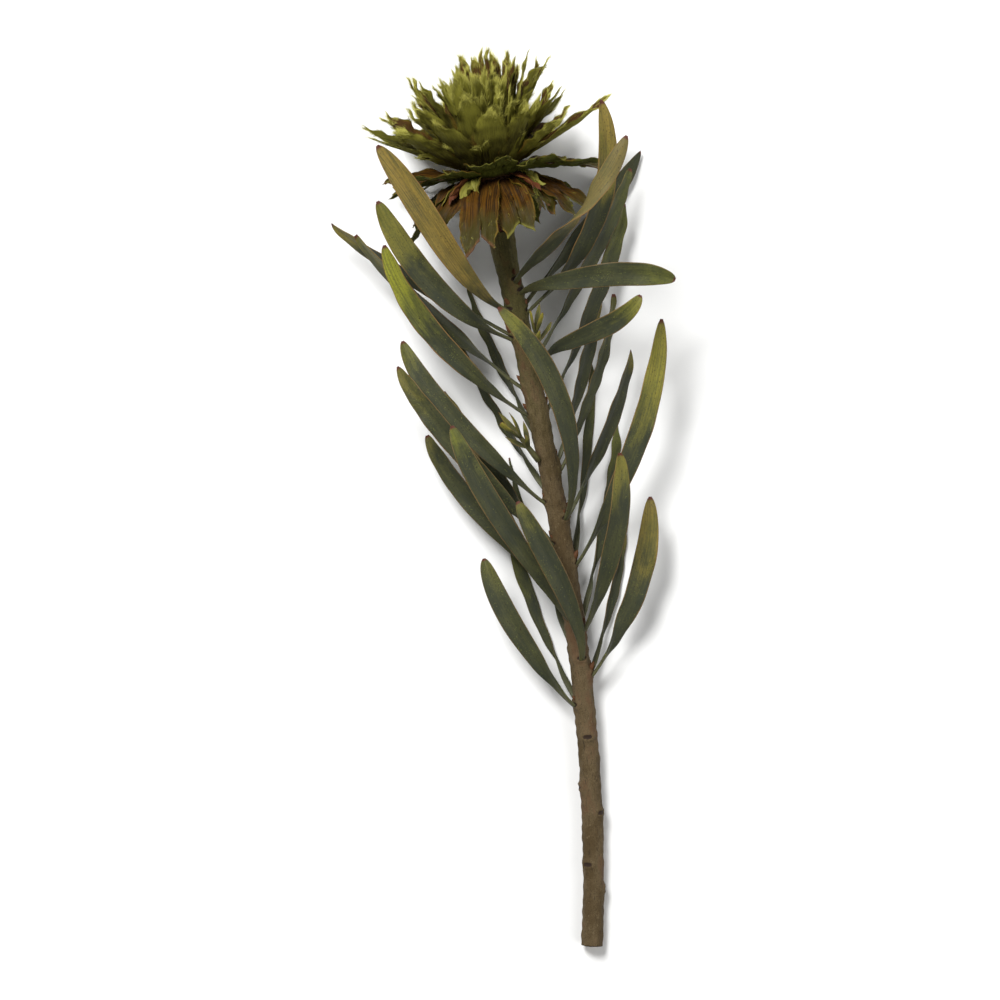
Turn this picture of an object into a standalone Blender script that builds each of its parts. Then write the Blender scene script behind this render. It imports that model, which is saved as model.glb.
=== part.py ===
"""A cut leucadendron stem with one opened flower head, lying on a flat surface.

The woody stem runs along +Y, cut end at -Y and flower head at +Y. The head leans a little to the
left and up from the surface. Every blade is a thin closed sheet: a middle surface worked out from a
centre line and an outline, given its thickness along the surface's normals. Blades of the head are
fused to the core that they grow from. Units are metres, +Z is up.
"""

import math
import random

import bmesh
import bpy
import numpy as np

MM = 0.001

# The flower head's axis leans to the left and up from the surface
HEAD_LEAN = math.radians(9)
HEAD_RISE = math.radians(10)
HEAD_AXIS = np.array((-math.sin(HEAD_LEAN), math.cos(HEAD_LEAN), math.tan(HEAD_RISE))) * math.cos(HEAD_RISE)
HEAD_FOOT = np.array((-13, 14, 39)) * MM

# The stem: a cubic curve from the cut end, lying on the surface, to the foot of the head
CUT_END = np.array((26, -288, 5.0)) * MM
CUT_HANDLE = np.array((32, -160, 5.0)) * MM
HEAD_HANDLE = 45 * MM
STEM_RADIUS = 4.1 * MM
STEM_SWELL = 1.8 * MM
STEM_SWELL_REACH = 15 * MM
STEM_THICKENING = 0.4 * MM
STEM_RINGS = 60
STEM_SIDES = 12
NODE_SWELL = 0.7 * MM
NODE_REACH = 3.2 * MM
SCAR_COUNT = 7
SCAR_FIRST = 217 * MM
SCAR_STEP = 11 * MM
SCAR_TURN = math.radians(137.5)
CUT_SLANT = 2.2 * MM

# The head's parts, stacked along its axis with a narrow gap between them
PART_GAP = 0.3 * MM
CUP_HEIGHT = 19.0 * MM
COLLAR_TOP = 26.0 * MM
CORE_TOP = 41.0 * MM
CUP_RADIUS = 14.0 * MM
COLLAR_RADIUS = 15.0 * MM
CORE_SIDES = 14
BRACT_THICKNESS = 0.8 * MM
SCALE_THICKNESS = 0.8 * MM

# Leaves
LEAF_THICKNESS = 0.75 * MM
LEAF_STALK_THICKNESS = 1.5 * MM
LEAF_STALK_SHARE = 0.26
LEAF_WIDEST = 0.64
LEAF_TIP_SHARE = 0.13
LEAF_CHANNEL = 0.16
LEAF_STAND_OFF = 1.7 * MM
LEAF_ROWS = 9

# What would reach below the surface is laid along it
FLOOR_CLEARANCE = 1.0 * MM
FLOOR_SOFTNESS = 7.0 * MM

# Rings of bracts, from the stem upwards: how many, height and radius of the roots and how deep they are
# sunk, lean from the axis at root and tip in degrees and its disorder, how much less those on the front
# lean and the share of their length that they keep, shortest and longest length, width, how far the
# sides curl in, and the share whose tip is torn
def ring_rule(count, height, radius, sunk, lean, unrest, front, length, width, curl, torn):
    """One ring's values by name."""
    return dict(
        count=count,
        height=height,
        radius=radius,
        sunk=sunk,
        lean=lean,
        unrest=unrest,
        front=front,
        length=length,
        width=width,
        curl=curl,
        torn=torn,
    )


SCALE_RINGS = (
    ring_rule(8, 4.0, 7.4, 1.4, (44, 58), 4, (0, 1), (8, 10), 8.0, 34, 0),
    ring_rule(8, 7.6, 9.6, 1.6, (46, 62), 4, (0, 1), (8, 10), 9.0, 30, 0.2),
    ring_rule(7, 11.2, 11.4, 1.6, (50, 68), 4, (0, 1), (7, 9), 12.0, 26, 0.4),
)
SKIRT_RINGS = (
    ring_rule(12, 21.4, 14.0, 3.0, (107, 150), 8, (-10, 1), (28, 42), 18.0, 22, 0.8),
    ring_rule(11, 24.0, 14.0, 3.0, (88, 102), 4, (28, 0.62), (30, 42), 18.0, 32, 0.5),
)
CROWN_RINGS = (
    ring_rule(11, 28.6, 13.4, 2.6, (70, 56), 5, (18, 0.72), (34, 46), 17.0, 40, 0.2),
    ring_rule(11, 30.8, 12.0, 3.0, (50, 40), 8, (10, 0.84), (32, 46), 14.5, 44, 0.6),
    ring_rule(11, 33.2, 9.6, 3.0, (32, 27), 9, (0, 0.88), (32, 46), 13.0, 46, 0.9),
    ring_rule(8, 35.4, 6.8, 3.0, (17, 18), 8, (0, 0.92), (32, 44), 12.0, 48, 1),
    ring_rule(4, 36.5, 3.0, 3.0, (6, 10), 5, (0, 1), (32, 40), 10.5, 50, 1),
    # short ones that close the crown's foot
    ring_rule(9, 28.2, 13.6, 2.6, (71, 58), 4, (26, 0.9), (13, 20), 13.0, 40, 0.5),
)
HEAD_SEED = 11

# A bract widens from its foot; a pointed one then closes early to a narrow tip, and a torn one stays
# broad and ends in a notch
BRACT_FOOT_SHARE = 0.55
BRACT_WIDEST = 0.55
POINTED_TIP_SHARE = 0.10
POINTED_TIP_POWER = 3.6
TORN_TIP_SHARE = 0.72
TORN_TIP_POWER = 9
NOTCH_DEPTHS = (0.08, 0.22)

# Skirt bracts near these angles are pressed short by the leaves that pass in front of them
SKIRT_GAPS = (-38, 40)
SKIRT_GAP_REACH = 20
SKIRT_GAP_SHARE = 0.7

# Two side shoots: distance below the head, angle round the stem, lean from the stem in degrees
SHOOTS = (
    dict(below=53, around=30, lean=28),
    dict(below=95, around=-50, lean=32),
)
SHOOT_STAND_OFF = 2.0 * MM
SHOOT_RINGS = (
    ring_rule(3, 6, 1.0, 0.6, (40, 22), 4, (0, 1), (8, 12), 3.4, 30, 0),
    ring_rule(3, 12, 0.8, 0.6, (20, 6), 4, (0, 1), (10, 15), 3.2, 30, 0),
)
SHOOT_LENGTH = 15 * MM
SHOOT_RADIUS = 1.3 * MM
SHOOT_SIDES = 8

# Leaves that the photograph shows, in millimetres and degrees: distance below the head, angle round
# the stem (0 up, 90 right, -90 left, 180 down), spread from the stem at the foot, tip, width, arch of
# the middle, direction that the blade faces and its twist
SHOWN_LEAVES = (
    dict(below=20, around=26, spread=66, tip=(37, 47, 90), width=8.8,
         arch=(4, -8, 8), face=(0.2, -0.6, 1), twist=150),
    dict(below=25, around=46, spread=86, tip=(58, -8, 62), width=10,
         arch=(4, 6, 10), face=(0, -0.2, 1), twist=10),
    dict(below=32, around=-40, spread=64, tip=(-62, 43, 90), width=10.4,
         arch=(5, 1, 9), face=(0.1, -0.3, 1), twist=0),
    dict(below=34, around=72, spread=62, tip=(27, 62, 84), width=9.4,
         arch=(12, -8, 6), face=(0.5, -0.3, 1), twist=0),
    dict(below=44, around=-68, spread=58, tip=(-63, 24, 62), width=10,
         arch=(-3, -5, 4), face=(0, -0.2, 1), twist=12),
    dict(below=57, around=52, spread=48, tip=(44, -14, 60), width=8.4,
         arch=(6, -10, 6), face=(0.3, -0.2, 1), twist=-12),
    dict(below=77, around=-84, spread=42, tip=(-61, 8, 42), width=9.8,
         arch=(-8, -6, 2), face=(-0.3, 0, 1), twist=-14),
    dict(below=103, around=98, spread=30, tip=(34, -12, 38), width=6,
         arch=(4, -4, 0), face=(0.6, 0, 1), twist=20),
    dict(below=115, around=-74, spread=36, tip=(-54, -31, 30), width=8.6,
         arch=(-10, -2, 2), face=(-0.2, 0.1, 1), twist=10),
    dict(below=123, around=40, spread=32, tip=(-14, -19, 60), width=8.8,
         arch=(12, 2, 8), face=(0.3, 0, 1), twist=-18),
    dict(below=133, around=-62, spread=38, tip=(-56, -42, 36), width=8.8,
         arch=(-6, 0, 6), face=(-0.2, 0, 1), twist=-10),
    dict(below=143, around=76, spread=36, tip=(54, -22, 34), width=9.8,
         arch=(6, -12, 4), face=(0.2, 0.1, 1), twist=10),
    dict(below=153, around=-92, spread=36, tip=(-44, -70, 16), width=8.8,
         arch=(-8, 0, 2), face=(-0.3, 0, 1), twist=-16),
    dict(below=165, around=-30, spread=38, tip=(-33, -67, 52), width=9,
         arch=(-8, 2, 6), face=(-0.1, 0, 1), twist=14),
    dict(below=171, around=48, spread=34, tip=(36, -78, 44), width=9,
         arch=(6, -2, 6), face=(0.2, 0, 1), twist=12),
    dict(below=183, around=12, spread=32, tip=(-6, -98, 44), width=8.8,
         arch=(-2, 0, 6), face=(0.2, 0, 1), twist=-10),
    dict(below=191, around=84, spread=36, tip=(50, -96, 20), width=9.6,
         arch=(6, -8, 4), face=(0.3, 0, 1), twist=-14),
    dict(below=203, around=-62, spread=36, tip=(-20, -122, 22), width=9,
         arch=(-6, 0, 4), face=(-0.2, 0, 1), twist=12),
)

# The other leaves stand in turn to the left and right of the underside, which the photograph hides
HIDDEN_LEAF_COUNT = 16
HIDDEN_LEAF_FIRST = 31
HIDDEN_LEAF_STEP = 11.4
HIDDEN_LEAF_LENGTHS = (74, 98)
HEAD_ROOM = 84
GOLDEN_SHARE = 0.618
LEAF_SEED = 1


def unit(vectors):
    """Vectors scaled to length one."""
    return vectors / np.linalg.norm(vectors, axis=-1, keepdims=True)


def smooth_step(value):
    """0 below 0, 1 above 1, and a smooth rise between."""
    value = np.clip(value, 0.0, 1.0)
    return value * value * (3 - 2 * value)


def cubic_curve(controls, position):
    """Point and tangent of the cubic curve with four control points, at positions from 0 to 1."""
    t = np.atleast_1d(position)[:, None]
    p0, p1, p2, p3 = controls
    point = (1 - t) ** 3 * p0 + 3 * (1 - t) ** 2 * t * p1 + 3 * (1 - t) * t * t * p2 + t**3 * p3
    slope = 3 * (1 - t) ** 2 * (p1 - p0) + 6 * (1 - t) * t * (p2 - p1) + 3 * t * t * (p3 - p2)
    return point, unit(slope)


def lay_on_surface(points):
    """Bends what is low so that it runs along the surface instead of through it."""
    laid = points.copy()
    height = laid[..., 2]
    room = FLOOR_SOFTNESS - FLOOR_CLEARANCE
    low = height < FLOOR_SOFTNESS
    height[low] = FLOOR_CLEARANCE + room * np.exp((height[low] - FLOOR_SOFTNESS) / room)
    return laid


def clear_scene():
    """Removes every object that the new file starts with."""
    for item in list(bpy.data.objects):
        bpy.data.objects.remove(item)


def make_material(name, colour, roughness):
    """A plain material with one colour."""
    material = bpy.data.materials.new(name)
    material.use_nodes = True
    shader = material.node_tree.nodes["Principled BSDF"]
    shader.inputs["Base Color"].default_value = (*colour, 1.0)
    shader.inputs["Roughness"].default_value = roughness
    material.diffuse_color = (*colour, 1.0)
    return material


def make_object(name, points, faces, material=None):
    """An object with the given points and faces, its faces turned outwards."""
    mesh = bpy.data.meshes.new(name)
    mesh.from_pydata([tuple(point) for point in points], [], faces)
    build = bmesh.new()
    build.from_mesh(mesh)
    bmesh.ops.recalc_face_normals(build, faces=build.faces)
    build.to_mesh(mesh)
    build.free()
    if material:
        mesh.materials.append(material)
    item = bpy.data.objects.new(name, mesh)
    bpy.context.scene.collection.objects.link(item)
    return item


def blade_mesh(middle, thickness):
    """Closes a middle surface into a thin solid, with the same triangles on both faces.

    middle is a grid of points, rows along the blade and columns across it; thickness is its grid.
    """
    rows, columns = middle.shape[:2]
    normal = unit(np.cross(np.gradient(middle, axis=0), np.gradient(middle, axis=1)))
    half = 0.5 * thickness[..., None] * normal
    points = np.concatenate(((middle + half).reshape(-1, 3), (middle - half).reshape(-1, 3)))
    under = rows * columns
    faces = []
    for row in range(rows - 1):
        for column in range(columns - 1):
            a = row * columns + column
            b, c, d = a + columns, a + columns + 1, a + 1
            faces += [(a, b, c), (a, c, d)]
            faces += [(under + a, under + c, under + b), (under + a, under + d, under + c)]
    rim = [row * columns for row in range(rows)]
    rim += [(rows - 1) * columns + column for column in range(1, columns)]
    rim += [row * columns + columns - 1 for row in range(rows - 2, -1, -1)]
    rim += [column for column in range(columns - 2, 0, -1)]
    for a, b in zip(rim, rim[1:] + rim[:1]):
        faces += [(a, under + a, under + b), (a, under + b, b)]
    return points, faces


def turned_mesh(profile, sides, frame):
    """A solid turned about the head's axis from (radius, height) points that end on the axis."""
    points = [frame.at(0.0, profile[0][1], 0.0)]
    for radius, height in profile[1:-1]:
        points += [frame.at(radius, height, 2 * math.pi * side / sides) for side in range(sides)]
    points.append(frame.at(0.0, profile[-1][1], 0.0))
    rings = len(profile) - 2
    last = len(points) - 1
    faces = []
    for side in range(sides):
        after = (side + 1) % sides
        faces.append((0, 1 + side, 1 + after))
        faces.append((last, 1 + (rings - 1) * sides + after, 1 + (rings - 1) * sides + side))
        for ring in range(rings - 1):
            low, high = 1 + ring * sides, 1 + (ring + 1) * sides
            faces.append((low + side, high + side, high + after, low + after))
    return points, faces


def keep_outer_body(mesh):
    """Keeps the largest body, so that loose scraps go and sealed hollows are filled."""
    build = bmesh.new()
    build.from_mesh(mesh)
    unseen = set(build.faces)
    bodies = []
    while unseen:
        seed = unseen.pop()
        body = [seed]
        for face in body:
            for edge in face.edges:
                for neighbour in edge.link_faces:
                    if neighbour in unseen:
                        unseen.remove(neighbour)
                        body.append(neighbour)
        bodies.append(body)
    bodies.sort(key=len, reverse=True)
    spare = [face for body in bodies[1:] for face in body]
    bmesh.ops.delete(build, geom=spare, context="FACES")
    build.to_mesh(mesh)
    build.free()


def fuse(core, blades):
    """Joins blades to the core that they grow from, by one union on their collection."""
    collection = bpy.data.collections.new(core.name + "_blades")
    bpy.context.scene.collection.children.link(collection)
    for index, (points, faces) in enumerate(blades):
        blade = make_object(f"{core.name}_blade_{index}", points, faces)
        bpy.context.scene.collection.objects.unlink(blade)
        collection.objects.link(blade)
    union = core.modifiers.new("fuse", "BOOLEAN")
    union.operation = "UNION"
    union.operand_type = "COLLECTION"
    union.collection = collection
    union.solver = "MANIFOLD"
    depsgraph = bpy.context.evaluated_depsgraph_get()
    fused = bpy.data.meshes.new_from_object(core.evaluated_get(depsgraph))
    core.modifiers.remove(union)
    core.data = fused
    for blade in list(collection.objects):
        bpy.data.objects.remove(blade)
    bpy.data.collections.remove(collection)
    keep_outer_body(fused)


class Stem:
    """The stem's centre line, measured from the foot of the head down to the cut end."""

    def __init__(self):
        position = np.linspace(1.0, 0.0, 600)
        controls = (CUT_END, CUT_HANDLE, HEAD_FOOT - HEAD_HANDLE * HEAD_AXIS, HEAD_FOOT)
        self.points, self.tangents = cubic_curve(controls, position)
        steps = np.linalg.norm(np.diff(self.points, axis=0), axis=1)
        self.below = np.concatenate(([0.0], np.cumsum(steps)))
        self.length = self.below[-1]
        self.nodes = []

    def at(self, below):
        """Centre, direction to the head, upward and rightward directions at a distance below it."""
        centre = np.array([np.interp(below, self.below, self.points[:, axis]) for axis in range(3)])
        tangent = np.array([np.interp(below, self.below, self.tangents[:, axis]) for axis in range(3)])
        tangent = unit(tangent)
        up = np.array((0.0, 0.0, 1.0))
        up = unit(up - tangent * up.dot(tangent))
        return centre, tangent, up, np.cross(tangent, up)

    def radius(self, below):
        """Thick under the head, slim in the middle and a little stouter at the cut end."""
        swell = STEM_SWELL * math.exp(-below / STEM_SWELL_REACH)
        return STEM_RADIUS + swell + STEM_THICKENING * below / self.length

    def outward(self, below, around):
        """Centre, direction to the head and outward direction at an angle round the stem."""
        centre, tangent, up, right = self.at(below)
        return centre, tangent, math.cos(around) * up + math.sin(around) * right

    def mesh(self):
        """A tube with a swelling at each leaf's node and a slanted cut at the end."""
        points = []
        for ring in range(STEM_RINGS):
            below = self.length * ring / (STEM_RINGS - 1)
            for side in range(STEM_SIDES):
                around = 2 * math.pi * side / STEM_SIDES
                centre, tangent, outward = self.outward(below, around)
                radius = self.radius(below)
                reach = radius
                for node_below, node_around in self.nodes:
                    turn = math.remainder(around - node_around, 2 * math.pi) * radius
                    distance = math.hypot(below - node_below, turn)
                    reach += NODE_SWELL * math.exp(-((distance / NODE_REACH) ** 2))
                point = centre + outward * reach
                if ring == STEM_RINGS - 1:
                    point = point + tangent * CUT_SLANT * 0.5 * (1 + math.cos(around))
                points.append(point)
        faces = [tuple(range(STEM_SIDES)), tuple(range(len(points) - 1, len(points) - 1 - STEM_SIDES, -1))]
        for ring in range(STEM_RINGS - 1):
            for side in range(STEM_SIDES):
                after = (side + 1) % STEM_SIDES
                low, high = ring * STEM_SIDES, (ring + 1) * STEM_SIDES
                faces.append((low + side, low + after, high + after, high + side))
        return points, faces


class AxisFrame:
    """Places by radius, height and angle about an axis; angle 0 looks up, 90 degrees right."""

    def __init__(self, foot, axis):
        self.foot = foot
        self.axis = axis
        up = np.array((0.0, 0.0, 1.0))
        self.front = unit(up - self.axis * up.dot(self.axis))
        self.right = np.cross(self.axis, self.front)

    def outward(self, around):
        """Direction away from the axis."""
        return math.cos(around) * self.front + math.sin(around) * self.right

    def across(self, around):
        """Direction round the axis."""
        return -math.sin(around) * self.front + math.cos(around) * self.right

    def at(self, radius, height, around):
        """A point about the axis."""
        return self.foot + self.axis * height + self.outward(around) * radius


def bract_outline(along, tip_share, tip_power):
    """Half width as a share of the largest: a sine rise from the foot, and closing at the tip."""
    rise = np.sin(0.5 * np.pi * np.clip(along / BRACT_WIDEST, 0, 1))
    body = BRACT_FOOT_SHARE + (1 - BRACT_FOOT_SHARE) * rise
    close = np.clip(1 - along**tip_power, 0, 1) ** 0.6
    return np.maximum(body * close, tip_share)


def bract_surface(frame, bract, rows, columns):
    """Middle surface of a bract.

    The centre line is an arc in the plane of the head's axis, from its root to its tip; across it the
    blade is an arc too, whose sides curl to the axis. A notch pulls the middle of the tip back.
    """
    along = np.linspace(0, 1, rows)[:, None]
    across = np.linspace(-1, 1, columns)[None, :]
    place = along * (1 - bract["notch"] * (1 - np.abs(across)) * along**5)
    root_lean, tip_lean = bract["lean"]
    turn = tip_lean - root_lean
    if abs(turn) < 0.02:
        turn = 0.02
    lean = root_lean + turn * place
    radius = bract["radius"] + bract["length"] * (np.cos(root_lean) - np.cos(lean)) / turn
    height = bract["height"] + bract["length"] * (np.sin(lean) - np.sin(root_lean)) / turn
    half = 0.5 * bract["width"] * bract_outline(along, bract["tip_share"], bract["tip_power"])
    curl = bract["curl"] * (0.35 + 0.65 * np.sin(np.pi * np.clip(along * 0.85 + 0.1, 0, 1)))
    sideways = half / curl * np.sin(across * curl)
    inward = half / curl * (1 - np.cos(across * curl))
    roll = bract["roll"] * along
    sideways, inward = (
        sideways * np.cos(roll) - inward * np.sin(roll),
        sideways * np.sin(roll) + inward * np.cos(roll),
    )
    radius = radius - inward * np.cos(lean)
    height = height + inward * np.sin(lean)
    outward = frame.outward(bract["around"])
    sideward = frame.across(bract["around"])
    points = frame.foot + frame.axis * height[..., None] + outward * radius[..., None]
    return points + sideward * np.broadcast_to(sideways, radius.shape)[..., None]


def ring_of_bracts(ring, first_around, draw):
    """The bracts of one ring, evenly spread with a little disorder."""
    bracts = []
    for index in range(ring["count"]):
        spread = 2 * math.pi / ring["count"]
        torn = draw.random() < ring["torn"]
        bract = dict(
            around=first_around + spread * (index + draw.uniform(-0.16, 0.16)),
            length=draw.uniform(*ring["length"]) * MM,
            width=ring["width"] * draw.uniform(0.88, 1.12) * MM,
            lean=tuple(math.radians(lean + ring["unrest"] * draw.uniform(-1, 1)) for lean in ring["lean"]),
            curl=math.radians(ring["curl"] * draw.uniform(0.85, 1.15)),
            roll=math.radians(draw.uniform(-24, 24)),
            notch=draw.uniform(*NOTCH_DEPTHS) if torn else 0.0,
            tip_share=TORN_TIP_SHARE if torn else POINTED_TIP_SHARE,
            tip_power=TORN_TIP_POWER if torn else POINTED_TIP_POWER,
        )
        closing, kept = ring["front"]
        at_front = max(math.cos(bract["around"]), 0)
        bract["lean"] = tuple(lean - math.radians(closing) * at_front for lean in bract["lean"])
        bract["length"] *= 1 - (1 - kept) * at_front
        sunk = ring["sunk"] * MM
        bract["radius"] = ring["radius"] * MM - sunk * math.sin(bract["lean"][0])
        bract["height"] = ring["height"] * MM - sunk * math.cos(bract["lean"][0])
        bract["length"] += sunk
        bracts.append(bract)
    return bracts


def bract_blades(frame, bracts, thickness, rows):
    """Solid blades for a list of bracts."""
    blades = []
    for bract in bracts:
        middle = lay_on_surface(bract_surface(frame, bract, rows, 3))
        blades.append(blade_mesh(middle, np.full(middle.shape[:2], thickness)))
    return blades


def make_scale_cup(frame, material):
    """The cup under the head, with its overlapping small scales."""
    profile = (
        (0, PART_GAP),
        (6.0 * MM, PART_GAP),
        (8.2 * MM, 5.0 * MM),
        (10.8 * MM, 10.0 * MM),
        (12.8 * MM, 15.0 * MM),
        (CUP_RADIUS, CUP_HEIGHT),
        (0, CUP_HEIGHT),
    )
    cup = make_object("scale_cup", *turned_mesh(profile, CORE_SIDES, frame), material)
    draw = random.Random(HEAD_SEED)
    scales = []
    for index, ring in enumerate(SCALE_RINGS):
        scales += ring_of_bracts(ring, 0.35 * index, draw)
    fuse(cup, bract_blades(frame, scales, SCALE_THICKNESS, 4))
    return cup


def make_skirt(frame, material):
    """The collar with the wide bracts that have opened flat or bent back."""
    low = CUP_HEIGHT + PART_GAP
    profile = (
        (0, low),
        (COLLAR_RADIUS - 0.6 * MM, low),
        (COLLAR_RADIUS, 0.5 * (low + COLLAR_TOP)),
        (COLLAR_RADIUS - 0.3 * MM, COLLAR_TOP),
        (0, COLLAR_TOP),
    )
    skirt = make_object("skirt_bracts", *turned_mesh(profile, CORE_SIDES, frame), material)
    draw = random.Random(HEAD_SEED + 1)
    bracts = []
    for index, ring in enumerate(SKIRT_RINGS):
        bracts += ring_of_bracts(ring, 0.2 + 0.31 * index, draw)
    for bract in bracts:
        around = math.degrees(bract["around"])
        if any(abs(math.remainder(around - gap, 360)) < SKIRT_GAP_REACH for gap in SKIRT_GAPS):
            bract["length"] *= SKIRT_GAP_SHARE
    fuse(skirt, bract_blades(frame, bracts, BRACT_THICKNESS, 5))
    return skirt


def make_crown(frame, material):
    """The domed core with the dense rings of upright bracts."""
    low = COLLAR_TOP + PART_GAP
    profile = (
        (0, low),
        (COLLAR_RADIUS - 1.2 * MM, low),
        (COLLAR_RADIUS - 1.8 * MM, 31 * MM),
        (9.6 * MM, 36 * MM),
        (4.8 * MM, 39.5 * MM),
        (0, CORE_TOP),
    )
    crown = make_object("crown_bracts", *turned_mesh(profile, CORE_SIDES, frame), material)
    draw = random.Random(HEAD_SEED + 2)
    bracts = []
    for index, ring in enumerate(CROWN_RINGS):
        bracts += ring_of_bracts(ring, 0.28 * index, draw)
    fuse(crown, bract_blades(frame, bracts, BRACT_THICKNESS, 5))
    return crown


def make_shoot(name, stem, shoot, seed, material):
    """A short twig with small narrow leaves, in the angle between a leaf and the stem."""
    below = shoot["below"] * MM
    centre, tangent, outward = stem.outward(below, math.radians(shoot["around"]))
    lean = math.radians(shoot["lean"])
    foot = centre + outward * (stem.radius(below) + SHOOT_STAND_OFF)
    frame = AxisFrame(foot, math.cos(lean) * tangent + math.sin(lean) * outward)
    profile = (
        (0, 0),
        (SHOOT_RADIUS, 0.4 * MM),
        (0.8 * SHOOT_RADIUS, 0.5 * SHOOT_LENGTH),
        (0.7 * SHOOT_RADIUS, 0.9 * SHOOT_LENGTH),
        (0, SHOOT_LENGTH),
    )
    twig = make_object(name, *turned_mesh(profile, SHOOT_SIDES, frame), material)
    draw = random.Random(seed)
    leaves = []
    for index, ring in enumerate(SHOOT_RINGS):
        leaves += ring_of_bracts(ring, 0.9 * index, draw)
    fuse(twig, bract_blades(frame, leaves, SCALE_THICKNESS, 4))
    return twig


def leaf_outline(along):
    """Half width as a share of the largest: a slim stalk, widest past the middle, a blunt point."""
    rise = np.sin(0.5 * np.pi * np.clip(along / LEAF_WIDEST, 0, 1)) ** 1.3
    fall = 1 - np.clip((along - LEAF_WIDEST) / (1 - LEAF_WIDEST), 0, 1) ** 2.2
    share = (LEAF_STALK_SHARE + (1 - LEAF_STALK_SHARE) * rise) * np.sqrt(np.clip(fall, 0, 1))
    return np.maximum(share, LEAF_TIP_SHARE)


def leaf_surface(stem, leaf, rows, columns):
    """Middle surface of a leaf.

    The centre line leaves the stem at its angle of spread and arches to the tip. The blade turns from
    the stem's outward direction to the one it faces, and twists about its centre line to the tip.
    """
    below = leaf["below"] * MM
    centre, tangent, outward = stem.outward(below, math.radians(leaf["around"]))
    foot = centre + outward * (stem.radius(below) + LEAF_STAND_OFF)
    tip = np.array(leaf["tip"]) * MM
    reach = np.linalg.norm(tip - foot)
    spread = math.radians(leaf["spread"])
    start = foot + 0.3 * reach * (math.cos(spread) * tangent + math.sin(spread) * outward)
    late = start + 0.55 * (tip - start) + np.array(leaf["arch"]) * MM
    spacing = np.linspace(0, 1, rows)
    along = 1 - (1 - spacing) ** 1.35
    line, heading = cubic_curve((foot, start, late, tip), along)
    turned = smooth_step(along / 0.42)[:, None]
    facing = unit(np.array(leaf["face"]))
    normal = (1 - turned) * outward + turned * facing
    normal = unit(normal - heading * np.sum(normal * heading, axis=1, keepdims=True))
    side = np.cross(heading, normal)
    twist = math.radians(leaf["twist"]) * smooth_step((along - 0.25) / 0.7)[:, None]
    normal, side = (
        normal * np.cos(twist) + side * np.sin(twist),
        side * np.cos(twist) - normal * np.sin(twist),
    )
    half = 0.5 * leaf["width"] * MM * leaf_outline(along)[:, None, None]
    across = np.linspace(-1, 1, columns)[None, :, None]
    surface = line[:, None] + side[:, None] * half * across
    surface = surface + normal[:, None] * LEAF_CHANNEL * half * across**2
    return surface, along


def hidden_leaves(stem):
    """Leaves round the underside, wide apart near the head and drooping on to the surface."""
    draw = random.Random(LEAF_SEED)
    leaves = []
    for index in range(HIDDEN_LEAF_COUNT):
        below = HIDDEN_LEAF_FIRST + HIDDEN_LEAF_STEP * index
        side = 1 if index % 2 else -1
        turn = (index * GOLDEN_SHARE) % 1.0
        from_under = 62 + 16 * turn if below < HEAD_ROOM else 22 + 50 * turn
        around = 180 + side * (from_under + draw.uniform(-5, 5))
        spread = 30 + 56 * math.exp(-below / 40) + draw.uniform(-4, 4)
        length = draw.uniform(*HIDDEN_LEAF_LENGTHS)
        centre, tangent, outward = stem.outward(below * MM, math.radians(around))
        lean = math.radians(spread)
        tip = centre / MM + length * (math.cos(lean) * tangent + math.sin(lean) * outward)
        leaves.append(
            dict(
                below=below,
                around=around,
                spread=spread,
                tip=tuple(tip),
                width=draw.uniform(8.2, 9.8),
                arch=tuple(5 * outward),
                face=tuple(outward + np.array((0, 0, 1))),
                twist=draw.uniform(-20, 20),
            )
        )
    return leaves


def make_leaf(name, stem, leaf, material):
    """One leaf as a thin solid, thicker along its stalk."""
    middle, along = leaf_surface(stem, leaf, LEAF_ROWS, 3)
    stalk = (LEAF_STALK_THICKNESS - LEAF_THICKNESS) * (1 - smooth_step(along / 0.3))
    thickness = np.repeat((LEAF_THICKNESS + stalk)[:, None], 3, axis=1)
    return make_object(name, *blade_mesh(lay_on_surface(middle), thickness), material)


def stand_on_origin(items):
    """Moves the whole stem so that the origin is below its middle, on the surface."""
    corners = []
    for item in items:
        points = np.empty(3 * len(item.data.vertices))
        item.data.vertices.foreach_get("co", points)
        corners += [points.reshape(-1, 3).min(axis=0), points.reshape(-1, 3).max(axis=0)]
    low = np.min(corners, axis=0)
    high = np.max(corners, axis=0)
    shift = np.array((0.5 * (low[0] + high[0]), 0.5 * (low[1] + high[1]), low[2]))
    for item in items:
        for vertex in item.data.vertices:
            vertex.co = tuple(np.array(vertex.co) - shift)
    return high - low


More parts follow.
